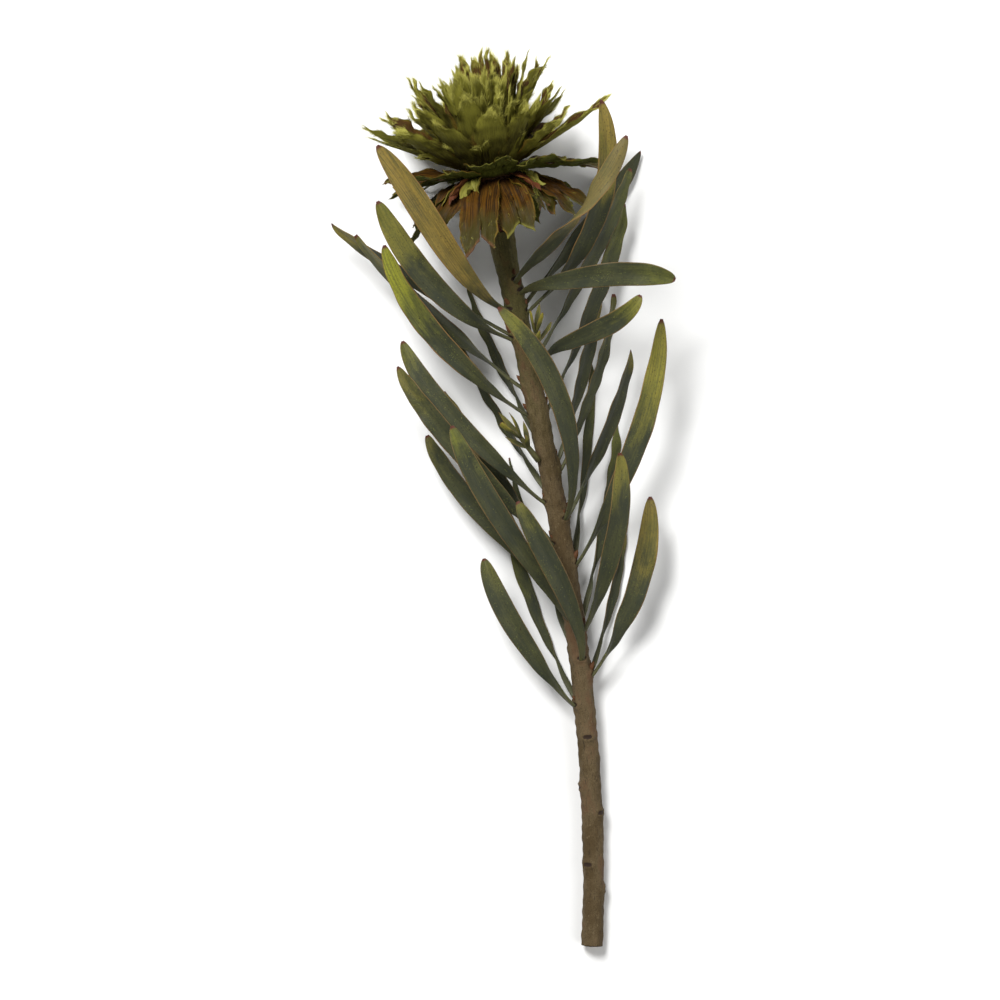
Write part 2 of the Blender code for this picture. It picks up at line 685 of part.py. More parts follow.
def main():
    """Builds the stem, the leaves and the head."""
    clear_scene()
    bark = make_material("bark", (0.09, 0.07, 0.03), 0.8)
    leaf_green = make_material("leaf_green", (0.06, 0.075, 0.03), 0.5)
    scale_maroon = make_material("scale_maroon", (0.07, 0.02, 0.012), 0.5)
    bract_orange = make_material("bract_orange", (0.13, 0.075, 0.012), 0.45)
    felt_green = make_material("felt_green", (0.10, 0.11, 0.015), 0.85)
    stem = Stem()
    leaves = list(SHOWN_LEAVES) + hidden_leaves(stem)
    leaves.sort(key=lambda leaf: leaf["below"])
    stem.nodes = [(leaf["below"] * MM, math.radians(leaf["around"])) for leaf in leaves]
    stem.nodes += [(SCAR_FIRST + SCAR_STEP * index, SCAR_TURN * index) for index in range(SCAR_COUNT)]
    frame = AxisFrame(HEAD_FOOT, HEAD_AXIS)
    items = [make_object("stem", *stem.mesh(), bark)]
    for index, leaf in enumerate(leaves):
        items.append(make_leaf(f"leaf_{index + 1:02d}", stem, leaf, leaf_green))
    for index, shoot in enumerate(SHOOTS):
        items.append(make_shoot(f"side_shoot_{index + 1}", stem, shoot, LEAF_SEED + index, leaf_green))
    items.append(make_scale_cup(frame, scale_maroon))
    items.append(make_skirt(frame, bract_orange))
    items.append(make_crown(frame, felt_green))
    size = stand_on_origin(items)
    triangles = 0
    for item in items:
        item.data.shade_smooth()
        item.data.calc_loop_triangles()
        triangles += len(item.data.loop_triangles)
    print("size in millimetres", [round(value / MM, 1) for value in size], "triangles", triangles)


main()
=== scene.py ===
import math
import random

import bpy
import numpy as np
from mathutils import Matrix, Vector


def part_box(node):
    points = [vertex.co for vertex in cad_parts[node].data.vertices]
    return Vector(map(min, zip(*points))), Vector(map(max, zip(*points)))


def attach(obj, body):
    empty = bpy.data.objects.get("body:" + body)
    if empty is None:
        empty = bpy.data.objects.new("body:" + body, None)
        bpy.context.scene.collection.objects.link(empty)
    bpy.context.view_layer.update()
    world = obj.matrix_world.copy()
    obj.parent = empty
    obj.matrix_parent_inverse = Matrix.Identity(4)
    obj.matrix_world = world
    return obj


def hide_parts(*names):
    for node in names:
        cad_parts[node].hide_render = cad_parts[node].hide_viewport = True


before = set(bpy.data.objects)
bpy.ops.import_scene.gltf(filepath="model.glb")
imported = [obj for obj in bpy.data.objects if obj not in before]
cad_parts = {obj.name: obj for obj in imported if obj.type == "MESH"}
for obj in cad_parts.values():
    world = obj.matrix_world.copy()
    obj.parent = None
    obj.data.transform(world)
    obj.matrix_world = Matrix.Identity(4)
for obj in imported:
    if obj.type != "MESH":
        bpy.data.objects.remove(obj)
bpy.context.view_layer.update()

# A cut stem with one opened woolly flower head, lying on a pale floor. Lengths are in millimetres
# until a mesh is made. The stem runs along +Y, the head is at +Y, and the camera looks straight down.

mm = 0.001

# The stem's centre line and thickness, the same as the frame's
stemShape = dict(
    cutEnd=(26, -288, 5), cutHandle=(32, -160, 5), headHandle=45,
    radius=4.1, swell=1.8, swellReach=15, thickening=0.4,
    nodeSwell=0.7, nodeReach=3.2, scars=7, firstScar=217, scarStep=11, scarTurn=137.5, cutSlant=2.2,
    rings=60, sides=12, samples=600,
)

# The head's axis leans left and up from the surface; its parts are stacked along it
headShape = dict(
    lean=9, rise=10, foot=(-13, 14, 39), seed=11,
    cupHeight=19, cupRadius=14, collarTop=26, coreTop=41, gap=0.3,
)

# What would reach below the surface runs along it
floorShape = dict(clearance=1.0, softness=7.0)


def unit(vectors):
    # each vector divided by its own length
    return vectors / np.linalg.norm(vectors, axis=-1, keepdims=True)


def smoothStep(value, low=0.0, high=1.0):
    # 0 below low, 1 above high, and 3t^2 - 2t^3 between
    t = np.clip((value - low) / (high - low), 0, 1)
    return t * t * (3 - 2 * t)


def cubicCurve(controls, along):
    # the cubic curve with four control points, and its unit tangent, at positions from 0 to 1
    t = np.asarray(along, float)[..., None]
    p0, p1, p2, p3 = (np.asarray(point, float) for point in controls)
    point = (1 - t) ** 3 * p0 + 3 * (1 - t) ** 2 * t * p1 + 3 * (1 - t) * t**2 * p2 + t**3 * p3
    slope = (1 - t) ** 2 * (p1 - p0) + 2 * (1 - t) * t * (p2 - p1) + t**2 * (p3 - p2)
    return point, unit(slope)


def layOnSurface(points):
    # height below the softness falls off exponentially to the clearance, and never to the floor itself
    clearance, softness = floorShape["clearance"], floorShape["softness"]
    room = softness - clearance
    laid = points.copy()
    height = laid[..., 2]
    bent = clearance + room * np.exp((np.minimum(height, softness) - softness) / room)
    laid[..., 2] = np.where(height < softness, bent, height)
    return laid


def ripple(a, b, seed, shortest, longest, waves=7):
    # relief of about -1 to 1: the sum of sine waves with random directions, lengths and phases
    draw = np.random.default_rng(seed)
    turn = draw.uniform(0, 2 * math.pi, waves)
    pitch = 2 * math.pi / np.exp(draw.uniform(math.log(shortest), math.log(longest), waves))
    phase = draw.uniform(0, 2 * math.pi, waves)
    a, b = np.broadcast_arrays(np.asarray(a, float), np.asarray(b, float))
    wave = np.sin(pitch * (a[..., None] * np.cos(turn) + b[..., None] * np.sin(turn)) + phase)
    return wave.sum(axis=-1) / math.sqrt(waves / 2)


headAxis = np.array((
    -math.sin(math.radians(headShape["lean"])),
    math.cos(math.radians(headShape["lean"])),
    math.tan(math.radians(headShape["rise"])),
)) * math.cos(math.radians(headShape["rise"]))
headFoot = np.array(headShape["foot"], float)


class StemLine:
    # the cubic curve from the cut end to the head's foot, read by the distance below the head
    def __init__(self, shape):
        handle = headFoot - shape["headHandle"] * headAxis
        controls = (shape["cutEnd"], shape["cutHandle"], handle, headFoot)
        self.points, self.tangents = cubicCurve(controls, np.linspace(1, 0, shape["samples"]))
        steps = np.linalg.norm(np.diff(self.points, axis=0), axis=1)
        self.below = np.concatenate(([0.0], np.cumsum(steps)))
        self.length = self.below[-1]
        self.shape = shape
        self.nodes = []

    def at(self, below):
        # centre, direction to the head, upward and rightward directions, interpolated along the line
        below = np.asarray(below, float)
        centre, heading = (
            np.stack([np.interp(below, self.below, track[:, k]) for k in range(3)], axis=-1)
            for track in (self.points, self.tangents)
        )
        tangent = unit(heading)
        up = unit(np.array((0, 0, 1.0)) - tangent * tangent[..., 2:3])
        return centre, tangent, up, np.cross(tangent, up)

    def outward(self, below, around):
        # the direction away from the centre line at an angle round it, 0 up and 90 degrees right
        centre, tangent, up, right = self.at(below)
        around = np.asarray(around, float)[..., None]
        return centre, tangent, np.cos(around) * up + np.sin(around) * right

    def radius(self, below):
        # even, swelling exponentially under the head and thickening a little to the cut end
        swell = self.shape["swell"] * np.exp(-np.asarray(below, float) / self.shape["swellReach"])
        return self.shape["radius"] + swell + self.shape["thickening"] * below / self.length

    def nodeDistance(self, below, around, node):
        # distance along and round the stem from a node
        turn = (around - node[1] + math.pi) % (2 * math.pi) - math.pi
        return below - node[0], turn * self.radius(below)

    def reach(self, below, around):
        # the radius with a bell-shaped swelling at each node
        reach = self.radius(below) + 0 * around
        for node in self.nodes:
            lengthwise, crosswise = self.nodeDistance(below, around, node)
            bell = np.exp(-(lengthwise**2 + crosswise**2) / self.shape["nodeReach"] ** 2)
            reach = reach + self.shape["nodeSwell"] * bell
        return reach


stemLine = StemLine(stemShape)


class AxisFrame:
    # places by radius, height and angle about an axis; angle 0 looks up, 90 degrees right
    def __init__(self, foot, axis):
        self.foot = np.asarray(foot, float)
        self.axis = np.asarray(axis, float)
        self.front = unit(np.array((0, 0, 1.0)) - self.axis * self.axis[2])
        self.right = np.cross(self.axis, self.front)

    def place(self, radius, height, around, sideways=0.0):
        radius, height, around, sideways = (
            np.asarray(value, float)[..., None] for value in (radius, height, around, sideways)
        )
        outward = np.cos(around) * self.front + np.sin(around) * self.right
        across = -np.sin(around) * self.front + np.cos(around) * self.right
        return self.foot + self.axis * height + outward * radius + across * sideways


headFrame = AxisFrame(headFoot, headAxis)


# Meshes. A part holds points, quads, triangles and marks, which are vectors on the points:
# blade = (along 0 to 1, across -1 to 1, outer face 1 or inner 0), grain = (across mm, along mm, seed),
# tint = up to three amounts that the material uses. On hair blade = (along 0 to 1, tone, 0), and on the
# stem blade = (scar, cut face, share of the length)

def gridQuads(rows, columns, closed=False):
    # the quads of a grid of points, wrapped round across the columns where closed
    last = columns if closed else columns - 1
    r, c = np.meshgrid(np.arange(rows - 1), np.arange(last), indexing="ij")
    n = (c + 1) % columns
    corners = (r * columns + c, r * columns + n, (r + 1) * columns + n, (r + 1) * columns + c)
    return np.stack(corners, axis=-1).reshape(-1, 4)


def markArray(values, shape):
    # three amounts as one vector for each point of a grid
    return np.stack([np.broadcast_to(np.asarray(v, float), shape) for v in values], axis=-1).reshape(-1, 3)


def shellPart(middle, half, along, across, grain, tint):
    # two copies of a middle surface, half a thickness out and in along its normals, joined by a rim
    rows, columns = middle.shape[:2]
    outer = unit(np.cross(np.gradient(middle, axis=1), np.gradient(middle, axis=0)))
    offset = outer * half[..., None]
    points = np.concatenate(((middle + offset).reshape(-1, 3), (middle - offset).reshape(-1, 3)))
    front = gridQuads(rows, columns)
    under = rows * columns
    rim = np.concatenate((
        np.arange(columns),
        np.arange(1, rows) * columns + columns - 1,
        (rows - 1) * columns + np.arange(columns - 2, -1, -1),
        np.arange(rows - 2, 0, -1) * columns,
    ))
    after = np.roll(rim, -1)
    edge = np.stack([after, rim, under + rim, under + after], axis=-1)
    quads = np.concatenate((front, under + front[:, ::-1], edge))
    marks = dict(
        blade=np.concatenate([markArray((along, across, face), (rows, columns)) for face in (1, 0)]),
        grain=np.concatenate([markArray(grain, (rows, columns))] * 2),
        tint=np.concatenate([markArray(tint, (rows, columns))] * 2),
    )
    return dict(points=points, quads=quads, tris=np.zeros((0, 3), int), marks=marks)


def tubePart(rings, marks):
    # a grid of rings closed at both ends by a pole at the middle of the end ring
    count, sides = rings.shape[:2]
    poles = np.stack((rings[0].mean(axis=0), rings[-1].mean(axis=0)))
    points = np.concatenate((rings.reshape(-1, 3), poles))
    quads = gridQuads(count, sides, closed=True)
    side = np.arange(sides)
    after = (side + 1) % sides
    first = np.stack([after, side, np.full(sides, count * sides)], axis=-1)
    base = (count - 1) * sides
    last = np.stack([base + side, base + after, np.full(sides, count * sides + 1)], axis=-1)
    full = {}
    for key, values in marks.items():
        flat = markArray(values, (count, sides)).reshape(count, sides, 3)
        ends = np.stack((flat[0].mean(axis=0), flat[-1].mean(axis=0)))
        full[key] = np.concatenate((flat.reshape(-1, 3), ends))
    return dict(points=points, quads=quads, tris=np.concatenate((first, last)), marks=full)


def hairPart(root, start, bend, length, width, outer, tone, middle=0.42):
    # each hair is a slim tetrahedron that lies flat to the face under it: its root, two points beside
    # the bent centre line root + length (t start + t^2 bend) at t = middle, and the line's end
    count = len(root)
    aside = unit(np.cross(start, outer) + 1e-9) * (0.5 * width)[:, None]
    centre = root + length[:, None] * (middle * start + middle**2 * bend)
    tip = root + length[:, None] * (start + bend)
    points = np.stack((root, centre + aside, centre - aside, tip), axis=1)
    inner = np.cross(points[:, 1] - points[:, 0], points[:, 2] - points[:, 0])
    volume = np.sum(inner * (tip - root), axis=1)
    points[volume > 0] = points[volume > 0][:, (0, 2, 1, 3)]
    faces = np.array(((0, 1, 2), (0, 3, 1), (0, 2, 3), (1, 3, 2)))
    tris = (4 * np.arange(count)[:, None, None] + faces[None]).reshape(-1, 3)
    marks = dict(blade=markArray(((0.0, middle, middle, 1.0), tone[:, None], 0), (count, 4)))
    return dict(points=points.reshape(-1, 3), quads=np.zeros((0, 4), int), tris=tris, marks=marks)


def joinParts(parts):
    # several parts as one, with the faces counted on
    start = np.cumsum([0] + [len(part["points"]) for part in parts[:-1]])
    return dict(
        points=np.concatenate([part["points"] for part in parts]),
        quads=np.concatenate([part["quads"] + s for part, s in zip(parts, start)]),
        tris=np.concatenate([part["tris"] + s for part, s in zip(parts, start)]),
        marks={key: np.concatenate([part["marks"][key] for part in parts]) for key in parts[0]["marks"]},
    )


def addPiece(name, part, material, replaced=(), smooth=True):
    # puts a part in a mesh in the frame's own place, and it rides there instead of what it replaces
    points = (part["points"] - shift) * mm
    quads, tris = part["quads"], part["tris"]
    mesh = bpy.data.meshes.new(name)
    mesh.vertices.add(len(points))
    mesh.vertices.foreach_set("co", points.ravel().astype(np.float32))
    mesh.loops.add(4 * len(quads) + 3 * len(tris))
    mesh.loops.foreach_set("vertex_index", np.concatenate((quads.ravel(), tris.ravel())).astype(np.int32))
    starts = np.concatenate((4 * np.arange(len(quads)), 4 * len(quads) + 3 * np.arange(len(tris))))
    mesh.polygons.add(len(quads) + len(tris))
    mesh.polygons.foreach_set("loop_start", starts.astype(np.int32))
    mesh.update(calc_edges=True)
    mesh.validate()
    for key, values in part["marks"].items():
        attribute = mesh.attributes.new(key, "FLOAT_VECTOR", "POINT")
        attribute.data.foreach_set("vector", values.ravel().astype(np.float32))
    mesh.polygons.foreach_set("use_smooth", np.full(len(mesh.polygons), smooth))
    mesh.materials.append(material)
    piece = bpy.data.objects.new(name, mesh)
    bpy.context.scene.collection.objects.link(piece)
    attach(piece, "root")
    if replaced:
        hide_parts(*replaced)
    return piece


# Leaves: distance below the head, angle round the stem (0 up, 90 right, -90 left), spread at the foot,
# tip, width, arch of the middle, direction faced, twist; then gold and lime at the tip and where they begin
leafKeys = ("below", "around", "spread", "tip", "width", "arch", "face", "twist", "gold", "lime", "begins")
shownLeaves = [dict(zip(leafKeys, row)) for row in (
    (20, 26, 66, (37, 47, 90), 8.8, (4, -8, 8), (0.2, -0.6, 1), 150, 1.0, 0.2, 0.42),
    (25, 46, 86, (58, -8, 62), 10, (4, 6, 10), (0, -0.2, 1), 10, 0.0, 0.25, 0.7),
    (32, -40, 64, (-62, 43, 90), 10.4, (5, 1, 9), (0.1, -0.3, 1), 0, 1.0, 0.15, 0.12),
    (34, 72, 62, (27, 62, 84), 9.4, (12, -8, 6), (0.5, -0.3, 1), 0, 0.8, 0.5, 0.66),
    (44, -68, 58, (-63, 24, 62), 10, (-3, -5, 4), (0, -0.2, 1), 12, 0.25, 0.35, 0.62),
    (57, 52, 48, (44, -14, 60), 8.4, (6, -10, 6), (0.3, -0.2, 1), -12, 0.2, 0.5, 0.7),
    (77, -84, 42, (-61, 8, 42), 9.8, (-8, -6, 2), (-0.3, 0, 1), -14, 0.1, 1.0, 0.6),
    (103, 98, 30, (34, -12, 38), 6, (4, -4, 0), (0.6, 0, 1), 20, 0.1, 0.2, 0.7),
    (115, -74, 36, (-54, -31, 30), 8.6, (-10, -2, 2), (-0.2, 0.1, 1), 10, 0.1, 0.3, 0.8),
    (123, 40, 32, (-14, -19, 60), 8.8, (12, 2, 8), (0.3, 0, 1), -18, 0.15, 0.5, 0.84),
    (133, -62, 38, (-56, -42, 36), 8.8, (-6, 0, 6), (-0.2, 0, 1), -10, 0.4, 0.3, 0.8),
    (143, 76, 36, (54, -22, 34), 9.8, (6, -12, 4), (0.2, 0.1, 1), 10, 0.4, 0.7, 0.6),
    (153, -92, 36, (-44, -70, 16), 8.8, (-8, 0, 2), (-0.3, 0, 1), -16, 0.3, 0.2, 0.8),
    (165, -30, 38, (-33, -67, 52), 9, (-8, 2, 6), (-0.1, 0, 1), 14, 0.0, 0.4, 0.8),
    (171, 48, 34, (36, -78, 44), 9, (6, -2, 6), (0.2, 0, 1), 12, 0.3, 0.4, 0.7),
    (183, 12, 32, (-6, -98, 44), 8.8, (-2, 0, 6), (0.2, 0, 1), -10, 0.2, 0.3, 0.8),
    (191, 84, 36, (50, -96, 20), 9.6, (6, -8, 4), (0.3, 0, 1), -14, 0.6, 0.3, 0.6),
    (203, -62, 36, (-20, -122, 22), 9, (-6, 0, 4), (-0.2, 0, 1), 12, 0.1, 0.2, 0.8),
)]

# The other leaves stand in turn to the left and right of the underside. Pairs give a least amount and
# what a leaf's own turn adds; spread has a base, an extra and the distance over which the extra fades
hiddenRule = dict(
    count=16, first=31, step=11.4, goldenShare=0.618, seed=1, lengths=(74, 98), widths=(8.2, 9.8),
    headRoom=84, besideHead=(62, 16), lower=(22, 50), aroundUnrest=5, spread=(30, 56, 40), spreadUnrest=4,
    twist=20, arch=5, goldFrom=0.6, gold=0.5, lime=0.6, begins=(0.55, 0.3),
)

leafShape = dict(
    thickness=0.62, stalkThickness=1.5, stalkShare=0.26, widest=0.64, tipShare=0.13, channel=0.16,
    standOff=1.7, sunk=1.4, sunkReach=2.2, sunkBack=0.8, handles=(0.3, 0.55), turned=0.42, twistFrom=0.25,
    twistOver=0.7, wave=0.3, waveLengths=(9, 26), waveFrom=0.3, groove=0.22, grooveWidth=0.45,
    grooveFrom=0.2, edgeShare=0.30, tipThinning=12, rows=58, columns=11, rowCrowding=1.35,
    columnCrowding=0.46, seed=100, grainStep=17.3,
)


def hiddenLeaves(rule):
    # even steps down the stem; a golden share of a turn spreads the angles, and the tip lies a length away
    draw = random.Random(rule["seed"])
    leaves = []
    for index in range(rule["count"]):
        below = rule["first"] + rule["step"] * index
        side = 1 if index % 2 else -1
        turn = (index * rule["goldenShare"]) % 1.0
        least, more = rule["besideHead"] if below < rule["headRoom"] else rule["lower"]
        around = 180 + side * (least + more * turn + draw.uniform(-1, 1) * rule["aroundUnrest"])
        base, extra, fade = rule["spread"]
        spread = base + extra * math.exp(-below / fade) + draw.uniform(-1, 1) * rule["spreadUnrest"]
        length = draw.uniform(*rule["lengths"])
        centre, tangent, outward = stemLine.outward(below, math.radians(around))
        lean = math.radians(spread)
        tip = centre + length * (math.cos(lean) * tangent + math.sin(lean) * outward)
        width = draw.uniform(*rule["widths"])
        twist = draw.uniform(-1, 1) * rule["twist"]
        gold = rule["gold"] * (turn > rule["goldFrom"])
        begins = rule["begins"][0] + rule["begins"][1] * turn
        arch, face = rule["arch"] * outward, outward + np.array((0, 0, 1))
        row = (below, around, spread, tip, width, arch, face, twist, gold, rule["lime"] * turn, begins)
        leaves.append(dict(zip(leafKeys, row)))
    return leaves


leaves = sorted(shownLeaves + hiddenLeaves(hiddenRule), key=lambda leaf: leaf["below"])
stemLine.nodes = [(leaf["below"], math.radians(leaf["around"])) for leaf in leaves]
stemLine.nodes += [
    (stemShape["firstScar"] + stemShape["scarStep"] * index, math.radians(stemShape["scarTurn"] * index))
    for index in range(stemShape["scars"])
]


def stemRings(rings, sides, relief):
    # rings square to the centre line whose reach is the swollen radius plus a relief; the last is slanted
    below = np.linspace(0, stemLine.length, rings)[:, None]
    around = 2 * math.pi * np.arange(sides)[None, :] / sides
    centre, tangent, up, right = stemLine.at(below[:, 0])
    outward = np.cos(around)[..., None] * up[:, None] + np.sin(around)[..., None] * right[:, None]
    reach = stemLine.reach(below, around) + relief(below, around)
    points = centre[:, None] + outward * reach[..., None]
    points[-1] += tangent[-1] * (stemShape["cutSlant"] * 0.5 * (1 + np.cos(around[0])))[:, None]
    return points, below, around


# How far the frame's stem stands from this one in its own place: from the plain stem's lowest corner
plainRings = stemRings(stemShape["rings"], stemShape["sides"], lambda below, around: 0.0)[0]
shift = plainRings.reshape(-1, 3).min(axis=0) - np.array(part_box("stem")[0]) / mm
print("frame read, shift in millimetres", [round(float(v), 2) for v in shift])


# Shader maths: a wire is a socket whose sums and products add Math nodes

class Wire:
    def __init__(self, paint, socket):
        self.paint = paint
        self.socket = socket

    def combine(self, operation, first, second):
        sockets = {0: first} if second is None else {0: first, 1: second}
        return self.paint.node("ShaderNodeMath", dict(operation=operation), sockets)

    def __add__(self, other):
        return self.combine("ADD", self, other)

    def __sub__(self, other):
        return self.combine("SUBTRACT", self, other)

    def __rsub__(self, other):
        return self.combine("SUBTRACT", other, self)

    def __mul__(self, other):
        return self.combine("MULTIPLY", self, other)

    __radd__ = __add__
    __rmul__ = __mul__

    def most(self, other):
        return self.combine("MAXIMUM", self, other)

    def size(self):
        return self.combine("ABSOLUTE", self, None)


class Paint:
    # a material with its own colours: what is the same all over is set on the shader's own socket
    def __init__(self, name, colours=(), specular=0.5):
        self.material = bpy.data.materials.new(name)
        self.material.use_nodes = True
        self.tree = self.material.node_tree
        self.shader = self.tree.nodes["Principled BSDF"]
        self.shader.inputs["Specular IOR Level"].default_value = specular
        self.colours = colours

    def feed(self, socket, value):
        if isinstance(value, Wire):
            self.tree.links.new(value.socket, socket)
        elif isinstance(value, tuple) and len(value) == 3 and socket.type == "RGBA":
            socket.default_value = (*value, 1.0)
        else:
            socket.default_value = value

    def node(self, kind, settings, sockets, output=0):
        node = self.tree.nodes.new(kind)
        for key, value in settings.items():
            setattr(node, key, value)
        for key, value in sockets.items():
            self.feed(node.inputs[key], value)
        return Wire(self, node.outputs[output])

    def finish(self, colour, roughness, height=None, distance=0.0002, strength=0.6):
        self.feed(self.shader.inputs["Base Color"], colour)
        self.feed(self.shader.inputs["Roughness"], roughness)
        if height is not None:
            sockets = {"Strength": strength, "Distance": distance, "Height": height}
            self.feed(self.shader.inputs["Normal"], self.node("ShaderNodeBump", {}, sockets))
        return self.material

    def mark(self, name):
        # the three amounts of a mark
        vector = self.node("ShaderNodeAttribute", dict(attribute_name=name), {}, "Vector")
        amounts = self.node("ShaderNodeSeparateXYZ", {}, {"Vector": vector}).socket.node.outputs
        return [Wire(self, amount) for amount in amounts]

    def grain(self, scale=(1, 1, 1), move=(0, 0, 0)):
        # the piece's own millimetres, drawn out by unequal scales
        vector = self.node("ShaderNodeAttribute", dict(attribute_name="grain"), {}, "Vector")
        return self.node("ShaderNodeMapping", {}, {"Vector": vector, "Scale": scale, "Location": move})

    def noise(self, vector, detail, rough, twisted=0.0, scale=1.0):
        sockets = {"Vector": vector, "Scale": scale, "Detail": detail, "Roughness": rough}
        return self.node("ShaderNodeTexNoise", {}, {**sockets, "Distortion": twisted})

    def dots(self, vector, radius):
        # 1 inside the round cores of the cells, 0 outside
        cells = self.node("ShaderNodeTexVoronoi", {}, {"Vector": vector, "Scale": 1.0}, "Distance")
        return self.ramp(cells, radius, radius * 0.55)

    def ramp(self, value, low, high, lowest=0.0, highest=1.0):
        # lowest at low, highest at high, and a smooth step between
        if low > high:
            low, high, lowest, highest = high, low, highest, lowest
        sockets = {"Value": value, "From Min": low, "From Max": high, "To Min": lowest, "To Max": highest}
        return self.node("ShaderNodeMapRange", dict(interpolation_type="SMOOTHSTEP"), sockets)

    def blend(self, share, first, second):
        # a share of the second over the first; a colour may be given by its name
        first, second = (self.colours[c] if isinstance(c, str) else c for c in (first, second))
        return self.node("ShaderNodeMix", dict(data_type="RGBA"), {0: share, 6: first, 7: second}, 2)


leafColours = dict(
    deep=(0.028, 0.032, 0.018), olive=(0.058, 0.060, 0.023), stalk=(0.080, 0.076, 0.026),
    under=(0.080, 0.082, 0.045), gold=(0.24, 0.165, 0.034), lime=(0.26, 0.27, 0.026),
    margin=(0.24, 0.13, 0.040), callus=(0.085, 0.026, 0.016), speck=(0.016, 0.011, 0.008),
    freckle=(0.17, 0.18, 0.040),
)
shootColours = dict(
    leafColours, deep=(0.040, 0.040, 0.010), olive=(0.105, 0.098, 0.018), callus=(0.12, 0.040, 0.016),
)


def leafPaint(name, colours):
    # clouded green with lengthwise veins; gold and lime grow from the tip; specks, freckles, an orange
    # margin, dry flecks and a red callus at the very tip lie over it
    paint = Paint(name, colours, specular=0.2)
    along, across, face = paint.mark("blade")
    gold, lime, begins = paint.mark("tint")
    veins = paint.noise(paint.grain((2.4, 0.05, 1)), 3, 0.6)
    cloud = paint.noise(paint.grain((0.16, 0.06, 1)), 4, 0.6, 0.4)
    fine = paint.noise(paint.grain((1.4, 1.1, 1)), 4, 0.7)
    spread = paint.noise(paint.grain((0.30, 0.14, 1), (7, 3, 5)), 3, 0.6)
    green = paint.blend(paint.ramp(cloud + 0.25 * veins + 0.3 * fine, 0.55, 1.02), "deep", "olive")
    green = paint.blend(paint.ramp(along, 0.22, 0.0), green, "stalk")
    reach = paint.ramp(along + 0.5 * (cloud - 0.5) - begins, -0.06, 0.26)
    colour = paint.blend(reach * lime, green, "lime")
    golden = reach * gold * paint.ramp(cloud + 0.35 * veins, 0.42, 0.78, 0.45, 1.0)
    colour = paint.blend(golden, colour, "gold")
    turned = gold.most(lime)
    colour = paint.blend(paint.ramp(veins, 0.36, 0.60, 0.50, 0.0) * (0.4 + 0.6 * turned), colour, "deep")
    colour = paint.blend(paint.ramp(fine, 0.52, 0.34) * 0.35, colour, "deep")
    colour = paint.blend((1 - face) * 0.45, colour, "under")
    freckles = paint.dots(paint.grain((1.9, 1.5, 1)), 0.34) * paint.ramp(spread, 0.50, 0.62)
    colour = paint.blend(freckles * paint.ramp(fine, 0.46, 0.56) * 0.8, colour, "freckle")
    specks = paint.dots(paint.grain((1.2, 0.7, 1)), 0.28)
    specks = specks * paint.ramp(fine + 0.4 * (cloud - 0.5), 0.48, 0.58)
    colour = paint.blend(specks * 0.85, colour, "speck")
    margin = paint.ramp(across.size() + 0.12 * (fine - 0.5), 0.90, 0.99) * paint.ramp(along, 0.2, 0.4)
    colour = paint.blend(margin * (0.22 + 0.55 * turned), colour, "margin")
    colour = paint.blend(paint.ramp(along + 0.02 * (fine - 0.5), 0.978, 0.992), colour, "callus")
    colour = paint.blend(paint.ramp(fine, 0.62, 0.75) * 0.2, colour, "margin")
    height = veins * 0.6 + fine * 0.25 + specks * 0.3
    return paint.finish(colour, paint.ramp(fine + 0.3 * veins, 0.4, 0.9, 0.42, 0.62), height, 0.00018, 0.55)


leafMaterial = leafPaint("leafSkin", leafColours)
shootMaterial = leafPaint("shootSkin", shootColours)


def leafOutline(along, shape):
    # half width as a share of the largest: a slim stalk, a sine rise to the widest, a blunt rounded end
    rise = np.sin(0.5 * np.pi * np.clip(along / shape["widest"], 0, 1)) ** 1.3
    fall = 1 - np.clip((along - shape["widest"]) / (1 - shape["widest"]), 0, 1) ** 2.2
    body = shape["stalkShare"] + (1 - shape["stalkShare"]) * rise
    return np.maximum(body * np.sqrt(np.clip(fall, 0, 1)), shape["tipShare"])


